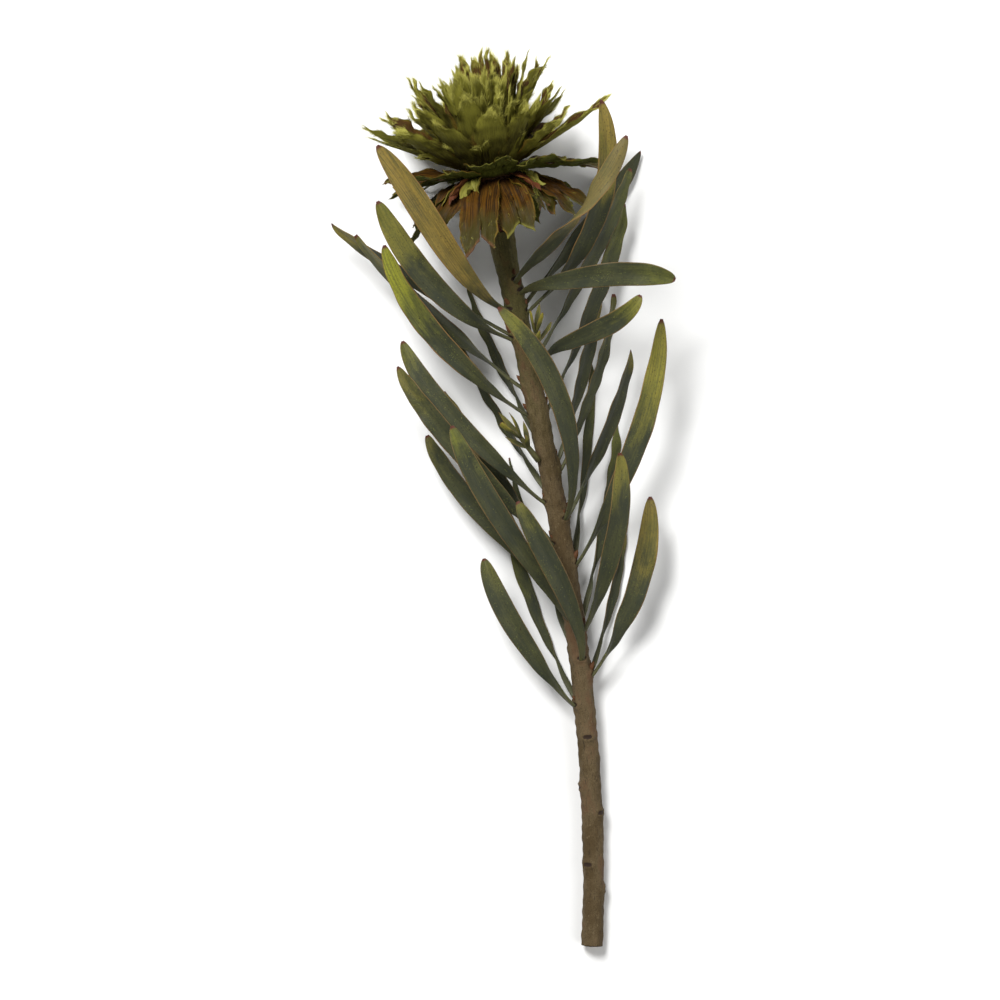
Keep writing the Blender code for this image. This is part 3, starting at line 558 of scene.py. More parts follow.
def leafSurface(leaf, seed, shape):
    # a cubic centre line from the stem to the tip; the blade turns from the stem's outward direction to
    # the one it faces, twists about its line, is a shallow channel across and waves at its edges
    centre, tangent, outward = stemLine.outward(leaf["below"], math.radians(leaf["around"]))
    foot = centre + outward * (stemLine.radius(leaf["below"]) + shape["standOff"])
    tip = np.array(leaf["tip"], float)
    reach = np.linalg.norm(tip - foot)
    spread = math.radians(leaf["spread"])
    first, second = shape["handles"]
    start = foot + first * reach * (math.cos(spread) * tangent + math.sin(spread) * outward)
    late = start + second * (tip - start) + np.array(leaf["arch"], float)
    along = 1 - (1 - np.linspace(0, 1, shape["rows"])) ** shape["rowCrowding"]
    line, heading = cubicCurve((foot, start, late, tip), along)
    turned = smoothStep(along / shape["turned"])[:, None]
    normal = (1 - turned) * outward + turned * unit(np.array(leaf["face"], float))
    normal = unit(normal - heading * np.sum(normal * heading, axis=1, keepdims=True))
    side = np.cross(heading, normal)
    twisted = smoothStep((along - shape["twistFrom"]) / shape["twistOver"])[:, None]
    twist = math.radians(leaf["twist"]) * twisted
    cosine, sine = np.cos(twist), np.sin(twist)
    normal, side = normal * cosine + side * sine, side * cosine - normal * sine
    sunk = (shape["standOff"] + shape["sunk"]) * np.exp(-along * reach / shape["sunkReach"])[:, None]
    line = line - outward * sunk - tangent * sunk * shape["sunkBack"]
    along = along[:, None]
    half = 0.5 * leaf["width"] * leafOutline(along, shape)
    quarter = math.pi * shape["columnCrowding"]
    across = np.sin(np.linspace(-1, 1, shape["columns"]) * quarter)[None, :] / math.sin(quarter)
    wave = shape["wave"] * across**2 * ripple(along * reach, across * 4, seed, *shape["waveLengths"])
    groove = np.exp(-((across * half / shape["grooveWidth"]) ** 2)) * smoothStep(along / shape["grooveFrom"])
    lift = shape["channel"] * half * across**2 + wave * smoothStep(along / shape["waveFrom"])
    lift = lift - shape["groove"] * groove
    surface = line[:, None] + side[:, None] * (half * across)[..., None] + normal[:, None] * lift[..., None]
    grown = shape["stalkThickness"] - shape["thickness"]
    thick = shape["thickness"] + grown * (1 - smoothStep(along / shape["waveFrom"]))
    thick = thick * (shape["edgeShare"] + (1 - shape["edgeShare"]) * np.sqrt(np.clip(1 - across**2, 0, 1)))
    thick = thick * np.minimum(1, 0.35 + (1 - along) * shape["tipThinning"])
    return surface, 0.5 * thick, along, across, half, reach


for index, leaf in enumerate(leaves):
    surface, half, along, across, width, reach = leafSurface(leaf, leafShape["seed"] + index, leafShape)
    grain = (across * width, along * reach, leafShape["grainStep"] * index)
    tint = (leaf["gold"], leaf["lime"], leaf["begins"])
    part = shellPart(layOnSurface(surface), half, along, across, grain, tint)
    addPiece(f"leafBlade{index + 1:02d}", part, leafMaterial, (f"leaf_{index + 1:02d}",))
print("leaves made:", len(leaves))


barkColours = dict(
    young=(0.060, 0.052, 0.016), youngPale=(0.12, 0.105, 0.034), old=(0.074, 0.049, 0.021),
    oldPale=(0.14, 0.104, 0.055), crack=(0.022, 0.015, 0.009), scar=(0.030, 0.018, 0.012),
    rust=(0.085, 0.036, 0.016), wood=(0.46, 0.36, 0.20), woodDark=(0.34, 0.25, 0.13),
)


def barkPaint(name, colours):
    # green-olive near the head and brown below, with lengthwise cracks, pale pores and leaf scars
    paint = Paint(name, colours, specular=0.14)
    scar, cut, below = paint.mark("blade")
    cracks = paint.noise(paint.grain((1.5, 1.5, 0.24)), 5, 0.62, 0.3)
    patches = paint.noise(paint.grain((0.10, 0.10, 0.05)), 4, 0.6)
    fine = paint.noise(paint.grain(), 5, 0.75, scale=2.2)
    age = paint.ramp(below + 0.45 * (patches - 0.5), 0.04, 0.36)
    body = paint.blend(age, "young", "old")
    pale = paint.blend(age, "youngPale", "oldPale")
    colour = paint.blend(paint.ramp(patches + 0.5 * fine, 0.62, 0.92), body, pale)
    colour = paint.blend(paint.ramp(patches + 0.25 * (fine - 0.5), 0.50, 0.64) * 0.6, colour, "rust")
    colour = paint.blend(paint.ramp(cracks, 0.42, 0.32) * 0.6, colour, "crack")
    colour = paint.blend(paint.ramp(fine, 0.50, 0.34) * 0.45, colour, "crack")
    pores = paint.dots(paint.grain((0.5, 0.5, 0.32)), 0.20)
    colour = paint.blend(pores * 0.6, colour, pale)
    colour = paint.blend(paint.ramp(scar + 0.3 * (fine - 0.5), 0.35, 0.75), colour, "scar")
    colour = paint.blend(cut, colour, paint.blend(paint.ramp(fine, 0.4, 0.7), "wood", "woodDark"))
    height = cracks * 1.4 + fine * 0.5 + pores * 0.4
    return paint.finish(colour, paint.ramp(fine, 0.3, 0.8, 0.62, 0.85), height, 0.0004, 0.8)


# The stem's mesh and relief; a scar's radius is along and round the stem, and its dish lies in its rim
stemFinish = dict(
    rings=560, sides=44, capRings=(0.96, 0.72, 0.4, 0.16),
    cracks=dict(depth=0.11, along=0.12, round=6, seed=5, waves=(1.2, 5)),
    bumps=dict(depth=0.10, along=0.5, round=5, seed=6, waves=(1.5, 7)),
    scarRim=0.35, scarRadius=(1.3, 2.3), rimAt=1.15, rimWidth=0.35, dish=0.8, dishWidth=0.7,
)


def scarMark(below, around, shape):
    # how much of a point is in a scar's face, and the ring-shaped rise of its rim less the dish inside
    face, rim = 0.0, 0.0
    for node in stemLine.nodes:
        lengthwise, crosswise = stemLine.nodeDistance(below, around, node)
        longRadius, wideRadius = shape["scarRadius"]
        distance = np.sqrt((lengthwise / longRadius) ** 2 + (crosswise / wideRadius) ** 2)
        face = np.maximum(face, 1 - smoothStep(distance, 0.6, 1.0))
        rise = np.exp(-(((distance - shape["rimAt"]) / shape["rimWidth"]) ** 2))
        rim = rim + rise - shape["dish"] * np.exp(-((distance / shape["dishWidth"]) ** 2))
    return face, rim


def barkRelief(below, around):
    # two sums of lengthwise ripples, and at each scar a raised rim round a sunk face
    relief = stemFinish["scarRim"] * scarMark(below, around, stemFinish)[1]
    for rule, turn in ((stemFinish["cracks"], np.cos(around)), (stemFinish["bumps"], np.sin(around))):
        wave = ripple(below * rule["along"], rule["round"] * turn, rule["seed"], *rule["waves"])
        relief = relief + rule["depth"] * wave
    return relief


rings, below, around = stemRings(stemFinish["rings"], stemFinish["sides"], barkRelief)
rings[..., 2] = np.maximum(rings[..., 2], shift[2])    # the relief doesn't reach into the floor
capShares = np.array(stemFinish["capRings"])
cutMiddle = rings[-1].mean(axis=0)
allRings = np.concatenate((rings, cutMiddle + (rings[-1] - cutMiddle) * capShares[:, None, None]))
onCut = np.repeat((0.0, 1.0), (len(rings), len(capShares)))[:, None]
scarFaces = scarMark(below, around, stemFinish)[0]
scarFaces = np.concatenate((scarFaces, np.zeros((len(capShares), stemFinish["sides"]))))
depths = np.concatenate((below[:, 0], np.full(len(capShares), stemLine.length)))[:, None]
spokes = np.concatenate((np.ones(len(rings)), capShares))[:, None] * stemShape["radius"]
marks = dict(
    blade=(scarFaces, onCut, depths / stemLine.length),
    grain=(spokes * np.cos(around), spokes * np.sin(around), depths),
)
for key, values in marks.items():
    marks[key] = [np.broadcast_to(value, allRings.shape[:2])[:, ::-1] for value in values]
barkPart = tubePart(allRings[:, ::-1], marks)
addPiece("barkStem", barkPart, barkPaint("barkSkin", barkColours), ("stem",))
print("stem made")


# Rings of bracts from the stem upwards, the same as the frame's: count, height and radius of the roots
# and how deep they are sunk, lean from the axis at root and tip and its disorder, how much less those
# on the front lean and the share of the length that they keep, lengths, width, curl, share torn
ringKeys = (
    "count", "height", "radius", "sunk", "lean", "unrest", "front", "length", "width", "curl", "torn",
)


def ringTable(*rows):
    return [dict(zip(ringKeys, row)) for row in rows]


scaleRings = ringTable(
    (8, 4.0, 7.4, 1.4, (44, 58), 4, (0, 1), (8, 10), 8.0, 34, 0),
    (8, 7.6, 9.6, 1.6, (46, 62), 4, (0, 1), (8, 10), 9.0, 30, 0.2),
    (7, 11.2, 11.4, 1.6, (50, 68), 4, (0, 1), (7, 9), 12.0, 26, 0.4),
)
skirtRings = ringTable(
    (12, 21.4, 14.0, 3.0, (107, 150), 8, (-10, 1), (28, 42), 18.0, 22, 0.8),
    (11, 24.0, 14.0, 3.0, (88, 102), 4, (28, 0.62), (30, 42), 18.0, 32, 0.5),
)
crownRings = ringTable(
    (11, 28.6, 13.4, 2.6, (70, 56), 5, (18, 0.72), (34, 46), 17.0, 40, 0.2),
    (11, 30.8, 12.0, 3.0, (50, 40), 8, (10, 0.84), (32, 46), 14.5, 44, 0.6),
    (11, 33.2, 9.6, 3.0, (32, 27), 9, (0, 0.88), (32, 46), 13.0, 46, 0.9),
    (8, 35.4, 6.8, 3.0, (17, 18), 8, (0, 0.92), (32, 44), 12.0, 48, 1),
    (4, 36.5, 3.0, 3.0, (6, 10), 5, (0, 1), (32, 40), 10.5, 50, 1),
    (9, 28.2, 13.6, 2.6, (71, 58), 4, (26, 0.9), (13, 20), 13.0, 40, 0.5),    # short, to close the foot
)
shootRings = ringTable(
    (3, 6, 1.0, 0.6, (40, 22), 4, (0, 1), (8, 12), 3.4, 30, 0),
    (3, 12, 0.8, 0.6, (20, 6), 4, (0, 1), (10, 15), 3.2, 30, 0),
)
bractTips = dict(
    foot=0.55, widest=0.55, pointedShare=0.10, pointedPower=2.5, tornShare=0.72, tornPower=9,
    notch=(0.08, 0.22), crooked=0.03, cutUnrest=0.14, cutReach=0.9, gapUnrest=(0.6, 1.4), nick=0.2,
    slitUnrest=(0.5, 1.3),
)
bractUnrest = dict(place=0.16, width=0.12, curl=0.15, roll=24)

# The blade of a bract: where tears and bends begin and how they grow, the relief's lengths, and how the
# edge and the tip thin out
bladeShape = dict(
    tearFrom=0.15, tearPower=1.2, bendFrom=0.4, bendPower=1.6, bendAside=0.4, tornWidening=0.10,
    leastTurn=0.02, leastCurl=0.35, creaseLengths=(1.6, 6), waveLengths=(5, 16), grownAt=0.5,
    edgeShare=0.28, tipShare=0.3, tipThinning=3, rowCrowding=1.25, grainStep=3.7,
)


def ringOfBracts(ring, firstAround, draw, level):
    # bracts evenly round the axis with a little disorder in place, length, width, lean, curl and roll
    bracts = []
    spacing = 2 * math.pi / ring["count"]
    closing, kept = ring["front"]
    for index in range(ring["count"]):
        torn = draw.random() < ring["torn"]
        around = firstAround + spacing * (index + bractUnrest["place"] * draw.uniform(-1, 1))
        length = draw.uniform(*ring["length"])
        width = ring["width"] * (1 + bractUnrest["width"] * draw.uniform(-1, 1))
        leans = [math.radians(lean + ring["unrest"] * draw.uniform(-1, 1)) for lean in ring["lean"]]
        curl = math.radians(ring["curl"] * (1 + bractUnrest["curl"] * draw.uniform(-1, 1)))
        roll = math.radians(bractUnrest["roll"] * draw.uniform(-1, 1))
        atFront = max(math.cos(around), 0)
        leans = [lean - math.radians(closing) * atFront for lean in leans]
        bracts.append(dict(
            around=around, width=width, lean=leans, curl=curl, roll=roll, torn=torn, level=level,
            length=length * (1 - (1 - kept) * atFront) + ring["sunk"],
            radius=ring["radius"] - ring["sunk"] * math.sin(leans[0]),
            height=ring["height"] - ring["sunk"] * math.cos(leans[0]),
            notch=draw.uniform(*bractTips["notch"]) if torn else 0.0,
            tipShare=bractTips["tornShare"] if torn else bractTips["pointedShare"],
            tipPower=bractTips["tornPower"] if torn else bractTips["pointedPower"],
        ))
    return bracts


def tearTip(bract, seed, strips, depth, slit, gap, lift):
    # strips at the tip: each is cut back and bent by its own amount, with a slit of gap between neighbours
    draw = np.random.default_rng(seed)
    count = draw.integers(*strips)
    reach, nick = bractTips["cutReach"], bractTips["nick"] * depth
    cuts = np.linspace(-1, 1, count + 1)[1:-1] + bractTips["cutUnrest"] * draw.uniform(-1, 1, count - 1)
    edges = np.concatenate(([-1.0], np.sort(np.clip(cuts, -reach, reach)), [1.0]))
    jags = []
    for low, high in zip(edges[:-1], edges[1:]):
        own = draw.uniform(0, depth)
        out = draw.uniform(-lift, lift)
        rim = 0.5 * gap * draw.uniform(*bractTips["gapUnrest"])
        jags.append((low + rim, own + nick * draw.random(), out))
        jags.append((0.5 * (low + high), own, out))
        jags.append((high - rim, own + nick * draw.random(), out))
        if high < 1:
            jags.append((high, own + slit * draw.uniform(*bractTips["slitUnrest"]), 0.0))
    bract["jags"] = np.array(jags).T


def plainTip(bract, seed):
    # a whole tip, a little crooked
    bend, back = np.random.default_rng(seed).uniform(-1, 1), bractTips["crooked"]
    bract["jags"] = np.array(((-1, 0, 1), (back, 0, back), (bend, 0, -bend)), float)


def bractOutline(along, bract):
    # half width as a share of the largest: a sine rise from the foot to the widest, closing at the tip
    rise = np.sin(0.5 * np.pi * np.clip(along / bractTips["widest"], 0, 1))
    body = bractTips["foot"] + (1 - bractTips["foot"]) * rise
    close = np.clip(1 - along ** bract["tipPower"], 0, 1) ** 0.6
    return np.maximum(body * close, bract["tipShare"])


def bractPoint(axisFrame, bract, along, across):
    # the centre line is an arc in the plane of the axis, and across it the blade is an arc too, whose
    # sides curl to the axis; the notch and the tears pull the tip back, and creases and waves grow from
    # the foot
    shape = bladeShape
    along, across = np.broadcast_arrays(np.asarray(along, float), np.asarray(across, float))
    jagAcross, jagBack, jagBend = bract["jags"]
    back = np.minimum(np.interp(across, jagAcross, jagBack) + bract["notch"] * (1 - np.abs(across)), 0.5)
    torn = np.clip((along - shape["tearFrom"]) / (1 - shape["tearFrom"]), 0, 1) ** shape["tearPower"]
    place = along - back * torn
    rootLean, tipLean = bract["lean"]
    turn = tipLean - rootLean if abs(tipLean - rootLean) >= shape["leastTurn"] else shape["leastTurn"]
    lean = rootLean + turn * place
    radius = bract["radius"] + bract["length"] * (np.cos(rootLean) - np.cos(lean)) / turn
    height = bract["height"] + bract["length"] * (np.sin(lean) - np.sin(rootLean)) / turn
    half = 0.5 * bract["width"] * bractOutline(along, bract)
    belly = np.sin(np.pi * np.clip(along * 0.85 + 0.1, 0, 1))
    curl = bract["curl"] * (shape["leastCurl"] + (1 - shape["leastCurl"]) * belly)
    late = np.clip((along - shape["bendFrom"]) / (1 - shape["bendFrom"]), 0, 1) ** shape["bendPower"]
    bend = np.interp(across, jagAcross, jagBend) * late
    widened = 1 + shape["tornWidening"] * bract["torn"] * along**3
    crease, wave, sway = bract["warp"]
    sideways = half / curl * np.sin(across * curl) * widened + shape["bendAside"] * bend + sway * along**2
    creases = ripple(across * half, along * bract["length"] * 0.25, bract["seed"], *shape["creaseLengths"])
    waves = ripple(along * bract["length"], across * 3, bract["seed"] + 5, *shape["waveLengths"])
    grown = np.sin(0.5 * np.pi * np.clip(along / shape["grownAt"], 0.02, 1))
    inward = half / curl * (1 - np.cos(across * curl)) + bend
    inward = inward + grown * (crease * creases + wave * across**2 * waves)
    cosine, sine = np.cos(bract["roll"] * along), np.sin(bract["roll"] * along)
    sideways, inward = sideways * cosine - inward * sine, sideways * sine + inward * cosine
    radius, height = radius - inward * np.cos(lean), height + inward * np.sin(lean)
    return layOnSurface(axisFrame.place(radius, height, bract["around"], sideways))


def bractPart(axisFrame, bract, rows, columns, thickness):
    # the bract as a shell that is thin at its edges and tip, with a column at each tear
    across = np.unique(np.round(np.concatenate((np.linspace(-1, 1, columns), bract["jags"][0])), 3))[None, :]
    along = (1 - (1 - np.linspace(0, 1, rows)) ** bladeShape["rowCrowding"])[:, None]
    middle = bractPoint(axisFrame, bract, along, across)
    edgeShare, tipShare = bladeShape["edgeShare"], bladeShape["tipShare"]
    thin = edgeShare + (1 - edgeShare) * np.sqrt(np.clip(1 - across**2, 0, 1))
    thin = thin * np.minimum(1, tipShare + bladeShape["tipThinning"] * (1 - along))
    half = 0.5 * bract["width"] * bractOutline(along, bract)
    grain = (across * half, along * bract["length"], bract["seed"] * bladeShape["grainStep"])
    tint = (bract["tone"], bract["level"] * 0.1, 0)
    return shellPart(middle, 0.5 * thickness * thin + 0 * along, along, across, grain, tint)


def lathePart(axisFrame, profile, sides):
    # a profile of (radius, height) turned about the axis, closed at both ends
    profile = np.array(profile, float)
    around = 2 * math.pi * np.arange(sides) / sides
    radius, height, around = np.broadcast_arrays(profile[:, :1], profile[:, 1:], around)
    # marks as on an inner face near the foot: on the crown's and skirt's cores this gives a dark colour,
    # painted shade for the band between the crown and the skirt
    marks = dict(
        blade=(0.1, 0, 0),
        grain=(radius * np.cos(around), height, radius * np.sin(around)),
        tint=(0.3, 0, 0),
    )
    return tubePart(axisFrame.place(radius, height, around), marks)


def dressBracts(bracts, seed, warp, tear):
    # warp is the depth of the creases, the height of the waves at the edges and the sway of the tip;
    # tear is the range of strips, how far they are cut back, the slits' depth and gap, and how far they bend
    crease, wave, sway = warp
    for number, bract in enumerate(bracts):
        draw = np.random.default_rng(seed + number)
        bract.update(seed=seed + number, tone=draw.random(), warp=(crease, wave, sway * draw.uniform(-1, 1)))
        if bract["torn"]:
            tearTip(bract, seed + 500 + number, *tear)
        else:
            plainTip(bract, seed + 500 + number)
    return bracts


def growBracts(rings, seed, step, dress, firstAround=0.0):
    # all the rings of a piece, each turned a step on from the one below
    draw = random.Random(seed)
    bracts = []
    for level, ring in enumerate(rings):
        bracts += ringOfBracts(ring, firstAround + step * level, draw, level)
    return dressBracts(bracts, *dress)


def piecePart(axisFrame, profile, sides, bracts, finish):
    # a turned core with bracts on it
    size = (finish["rows"], finish["columns"], finish["thickness"])
    return joinParts([
        lathePart(axisFrame, profile, sides), *(bractPart(axisFrame, bract, *size) for bract in bracts),
    ])


def fromMiddle(bract, middle):
    # degrees round the axis from a bract to a direction
    return abs(math.remainder(math.degrees(bract["around"]) - middle, 360))


# The crown: its rings' first draw and turn, the bracts' dress and mesh, and its core's profile. The long
# bracts that stand out to the right are pale
crownFoot = headShape["collarTop"] + headShape["gap"]
crownFinish = dict(
    seed=headShape["seed"] + 2, step=0.28, dress=(4000, (0.22, 0.5, 2.0), ((2, 5), 0.13, 0.34, 0.13, 2.8)),
    rows=26, columns=13, thickness=0.6, coreSides=32, paleMiddle=80, paleReach=25, paleTone=1.6,
    core=(
        (0.4, crownFoot - 0.6), (12.4, crownFoot - 0.6), (12.2, 31), (9.4, 36), (4.6, 39.5),
        (0.4, headShape["coreTop"] - 0.3),
    ),
)
crownBracts = growBracts(crownRings, crownFinish["seed"], crownFinish["step"], crownFinish["dress"])
for bract in crownBracts:
    if bract["level"] == 0 and fromMiddle(bract, crownFinish["paleMiddle"]) < crownFinish["paleReach"]:
        bract["tone"] = crownFinish["paleTone"]

feltColours = dict(
    shade=(0.026, 0.021, 0.003), felt=(0.088, 0.080, 0.009), lime=(0.17, 0.16, 0.020),
    pale=(0.36, 0.34, 0.075), edge=(0.17, 0.085, 0.010), inner=(0.020, 0.009, 0.003),
    innerWarm=(0.080, 0.038, 0.006),
)


def feltPaint(name, colours):
    # outer face: combed felt from olive to lime; inner face: dark brown with fine lengthwise stripes
    paint = Paint(name, colours, specular=0.12)
    along, across, face = paint.mark("blade")
    tone = paint.mark("tint")[0]
    streaks = paint.noise(paint.grain((3.2, 0.16, 1)), 4, 0.65, 0.25)
    patches = paint.noise(paint.grain((0.30, 0.12, 1)), 3, 0.6)
    stripes = paint.noise(paint.grain((3.6, 0.03, 1)), 2, 0.5)
    outer = paint.blend(paint.ramp(streaks + 0.7 * patches + 0.25 * tone, 0.62, 1.25), "shade", "felt")
    outer = paint.blend(paint.ramp(along + 0.4 * (streaks - 0.5) + 0.3 * tone, 0.50, 1.10), outer, "lime")
    outer = paint.blend(paint.ramp(along + 0.2 * (streaks - 0.5), 0.90, 1.02), outer, "pale")
    # warm edges low on the outer face: partly the bracts' real orange-brown margins, partly painted shade
    # where neighbouring bracts overlap
    marginAndShade = paint.ramp(across.size(), 0.72, 0.98) * paint.ramp(along, 0.62, 0.30)
    outer = paint.blend(marginAndShade * 0.8, outer, "edge")
    inner = paint.blend(paint.ramp(stripes + 0.4 * patches, 0.50, 0.86), "inner", "innerWarm")
    inner = paint.blend(paint.ramp(across.size(), 0.84, 1.0) * 0.8, inner, "felt")
    inner = paint.blend(paint.ramp(along, 0.93, 1.0) * 0.7, inner, "lime")
    colour = paint.blend(face, inner, outer)
    height = streaks * face + stripes * (1 - face) * 0.7
    return paint.finish(colour, paint.ramp(streaks, 0.3, 0.7, 0.9, 0.65), height, 0.0005, 0.9)


crownPart = piecePart(headFrame, crownFinish["core"], crownFinish["coreSides"], crownBracts, crownFinish)
addPiece("crownBracts", crownPart, feltPaint("crownFelt", feltColours), ("crown_bracts",))
print("crown made:", len(crownBracts), "bracts")


# The skirt, whose bracts are shorter at two gaps; and torn scraps on its front: short, narrow, strongly
# curled and of another colour
skirtFoot = headShape["cupHeight"] + headShape["gap"]
skirtTop = headShape["collarTop"] - 0.4
skirtFinish = dict(
    seed=headShape["seed"] + 1, step=0.31, first=0.2,
    dress=(3000, (0.34, 0.5, 2.2), ((2, 5), 0.14, 0.16, 0.12, 2.0)),
    rows=24, columns=17, thickness=0.55, coreSides=32, gapMiddles=(-38, 40), gapReach=20, gapShare=0.7,
    core=(
        (0.4, skirtFoot), (13.2, skirtFoot), (13.4, 0.5 * (skirtFoot + headShape["collarTop"])),
        (12.6, skirtTop), (0.4, skirtTop),
    ),
)
scrapRule = dict(
    count=8, around=(-72, 72), lean=((94, 116), (126, 168)), height=(22.0, 24.5), radius=13.4,
    length=(11, 20), width=(5, 9), curl=(40, 78), roll=40, notch=0.1, seed=35, level=5,
    dress=(3500, (0.3, 0.5, 1.5), ((2, 4), 0.2, 0.2, 0.1, 1.5)),
)


def makeScraps(rule):
    draw = np.random.default_rng(rule["seed"])
    scraps = []
    for index in range(rule["count"]):
        scraps.append(dict(
            around=math.radians(draw.uniform(*rule["around"])),
            lean=[math.radians(draw.uniform(*lean)) for lean in rule["lean"]],
            height=draw.uniform(*rule["height"]), radius=rule["radius"],
            length=draw.uniform(*rule["length"]), width=draw.uniform(*rule["width"]),
            curl=math.radians(draw.uniform(*rule["curl"])),
            roll=math.radians(rule["roll"] * draw.uniform(-1, 1)), notch=rule["notch"],
            tipShare=bractTips["tornShare"], tipPower=bractTips["tornPower"], torn=True, level=rule["level"],
        ))
    return dressBracts(scraps, *rule["dress"])


# the skirt's colours are partly its own and partly painted shade: they are set darker for the shade it lies
# in under the crown
skirtColoursShaded = dict(
    inner=(0.013, 0.006, 0.002), innerWarm=(0.085, 0.036, 0.003), olive=(0.036, 0.029, 0.004),
    felt=(0.034, 0.037, 0.005), feltPale=(0.090, 0.098, 0.013), edge=(0.15, 0.085, 0.010),
    cut=(0.20, 0.19, 0.035), pink=(0.13, 0.050, 0.028), maroon=(0.030, 0.010, 0.005),
    rust=(0.11, 0.032, 0.014),
)


def skirtPaint(name, colours):
    # inner face: orange-brown with fine stripes, greening to the tip and edges; outer face: short felt;
    # scraps, known by their level, are pale or rust
    paint = Paint(name, colours, specular=0.12)
    along, across, face = paint.mark("blade")
    tone, level = paint.mark("tint")[:2]
    stripes = paint.noise(paint.grain((3.4, 0.02, 1)), 2, 0.5)
    patches = paint.noise(paint.grain((0.22, 0.10, 1)), 4, 0.6, 0.5)
    fine = paint.noise(paint.grain((1.8, 0.7, 1)), 4, 0.7)
    inner = paint.blend(paint.ramp(stripes + 0.35 * patches, 0.50, 0.82), "inner", "innerWarm")
    inner = paint.blend(paint.ramp(along + 0.5 * (patches - 0.5) + 0.2 * tone, 0.62, 1.02), inner, "olive")
    outer = paint.blend(paint.ramp(fine + 0.6 * patches, 0.6, 1.1), "felt", "feltPale")
    colour = paint.blend(face, inner, outer)
    scrap = paint.ramp(level, 0.40, 0.45) * paint.ramp(stripes + patches, 0.6, 1.1, 0.55, 0.95)
    colour = paint.blend(scrap, colour, paint.blend(paint.ramp(tone, 0.5, 0.55), "cut", "rust"))
    edge = paint.ramp(across.size() + 0.10 * (fine - 0.5), 0.90, 0.99) * paint.ramp(patches, 0.40, 0.60)
    colour = paint.blend(edge * 0.8, colour, "edge")
    tip = paint.ramp(along + 0.06 * (fine - 0.5), 0.93, 1.0)
    colour = paint.blend(tip * 0.6, colour, paint.blend(paint.ramp(tone, 0.55, 0.6), "cut", "pink"))
    colour = paint.blend(paint.ramp(along, 0.22, 0.05) * 0.7, colour, "maroon")
    height = stripes * 0.9 + fine * 0.3
    return paint.finish(colour, paint.ramp(fine, 0.3, 0.8, 0.5, 0.72), height, 0.0003, 0.7)


skirtBracts = growBracts(
    skirtRings, skirtFinish["seed"], skirtFinish["step"], skirtFinish["dress"], skirtFinish["first"],
)
for bract in skirtBracts:
    if any(fromMiddle(bract, gap) < skirtFinish["gapReach"] for gap in skirtFinish["gapMiddles"]):
        bract["length"] *= skirtFinish["gapShare"]
skirtAll = skirtBracts + makeScraps(scrapRule)
skirtPart = piecePart(headFrame, skirtFinish["core"], skirtFinish["coreSides"], skirtAll, skirtFinish)
addPiece("skirtBracts", skirtPart, skirtPaint("skirtSkinShaded", skirtColoursShaded), ("skirt_bracts",))
print("skirt made:", len(skirtAll), "bracts and scraps")


# The cup under the skirt, with small red-brown scales
scaleColours = dict(
    inner=(0.045, 0.014, 0.007), innerWarm=(0.10, 0.034, 0.014), olive=(0.09, 0.040, 0.016),
    felt=(0.055, 0.016, 0.010), feltPale=(0.12, 0.048, 0.024), edge=(0.16, 0.075, 0.035),
    cut=(0.28, 0.16, 0.10), pink=(0.26, 0.10, 0.07), maroon=(0.05, 0.014, 0.010), rust=(0.11, 0.032, 0.014),
)
cupFinish = dict(
    seed=headShape["seed"], step=0.35, dress=(2000, (0.12, 0.1, 0.3), ((2, 4), 0.10, 0.10, 0.1, 0.4)),
    rows=14, columns=11, thickness=0.5, coreSides=32,
    core=(
        (0.4, 0.3), (6.0, 0.3), (8.2, 5), (10.8, 10), (12.8, 15),
        (headShape["cupRadius"], headShape["cupHeight"]), (0.4, headShape["cupHeight"]),
    ),
)
scales = growBracts(scaleRings, cupFinish["seed"], cupFinish["step"], cupFinish["dress"])
cupPart = piecePart(headFrame, cupFinish["core"], cupFinish["coreSides"], scales, cupFinish)
addPiece("scaleCup", cupPart, skirtPaint("scaleSkin", scaleColours), ("scale_cup",))
print("cup made:", len(scales), "scales")


# Side shoots: a twig with two rings of narrow young leaves
shootFinish = dict(
    places=((53, 30, 28), (95, -50, 32)), standOff=2.0, length=15, radius=1.3, sunk=3.0, coreSides=12,
    step=0.9, rows=16, columns=7, thickness=0.5, tint=(0.4, 0.6, 0.5),
    seed=6000, seedStep=100, warp=(0.08, 0.05, 0.3), tear=((2, 3), 0.1, 0.1, 0.1, 0.4),
)


def standOnStem(below, around, lean, away):
    # an axis that starts at a distance from the stem's surface and leans out from the stem's direction
    centre, tangent, outward = stemLine.outward(below, math.radians(around))
    foot = centre + outward * (stemLine.radius(below) + away)
    return AxisFrame(foot, math.cos(math.radians(lean)) * tangent + math.sin(math.radians(lean)) * outward)


def twigProfile(length, radius, sunk):
    # (radius, height) from inside the stem, straight and then tapering to the twig's end
    return (
        (0.3, -sunk), (radius, -0.8 * sunk), (radius, 0.4), (0.8 * radius, 0.5 * length),
        (0.7 * radius, 0.9 * length), (0.2, length),
    )


for index, (below, around, lean) in enumerate(shootFinish["places"]):
    dress = (shootFinish["seed"] + shootFinish["seedStep"] * index, shootFinish["warp"], shootFinish["tear"])
    young = growBracts(shootRings, hiddenRule["seed"] + index, shootFinish["step"], dress)
    profile = twigProfile(shootFinish["length"], shootFinish["radius"], shootFinish["sunk"])
    axisFrame = standOnStem(below, around, lean, shootFinish["standOff"])
    part = piecePart(axisFrame, profile, shootFinish["coreSides"], young, shootFinish)
    part["marks"]["tint"][shootFinish["coreSides"] * len(profile) + 2:] = shootFinish["tint"]
    addPiece(f"sideShoot{index + 1}", part, shootMaterial, (f"side_shoot_{index + 1}",))
print("shoots made:", len(shootFinish["places"]))


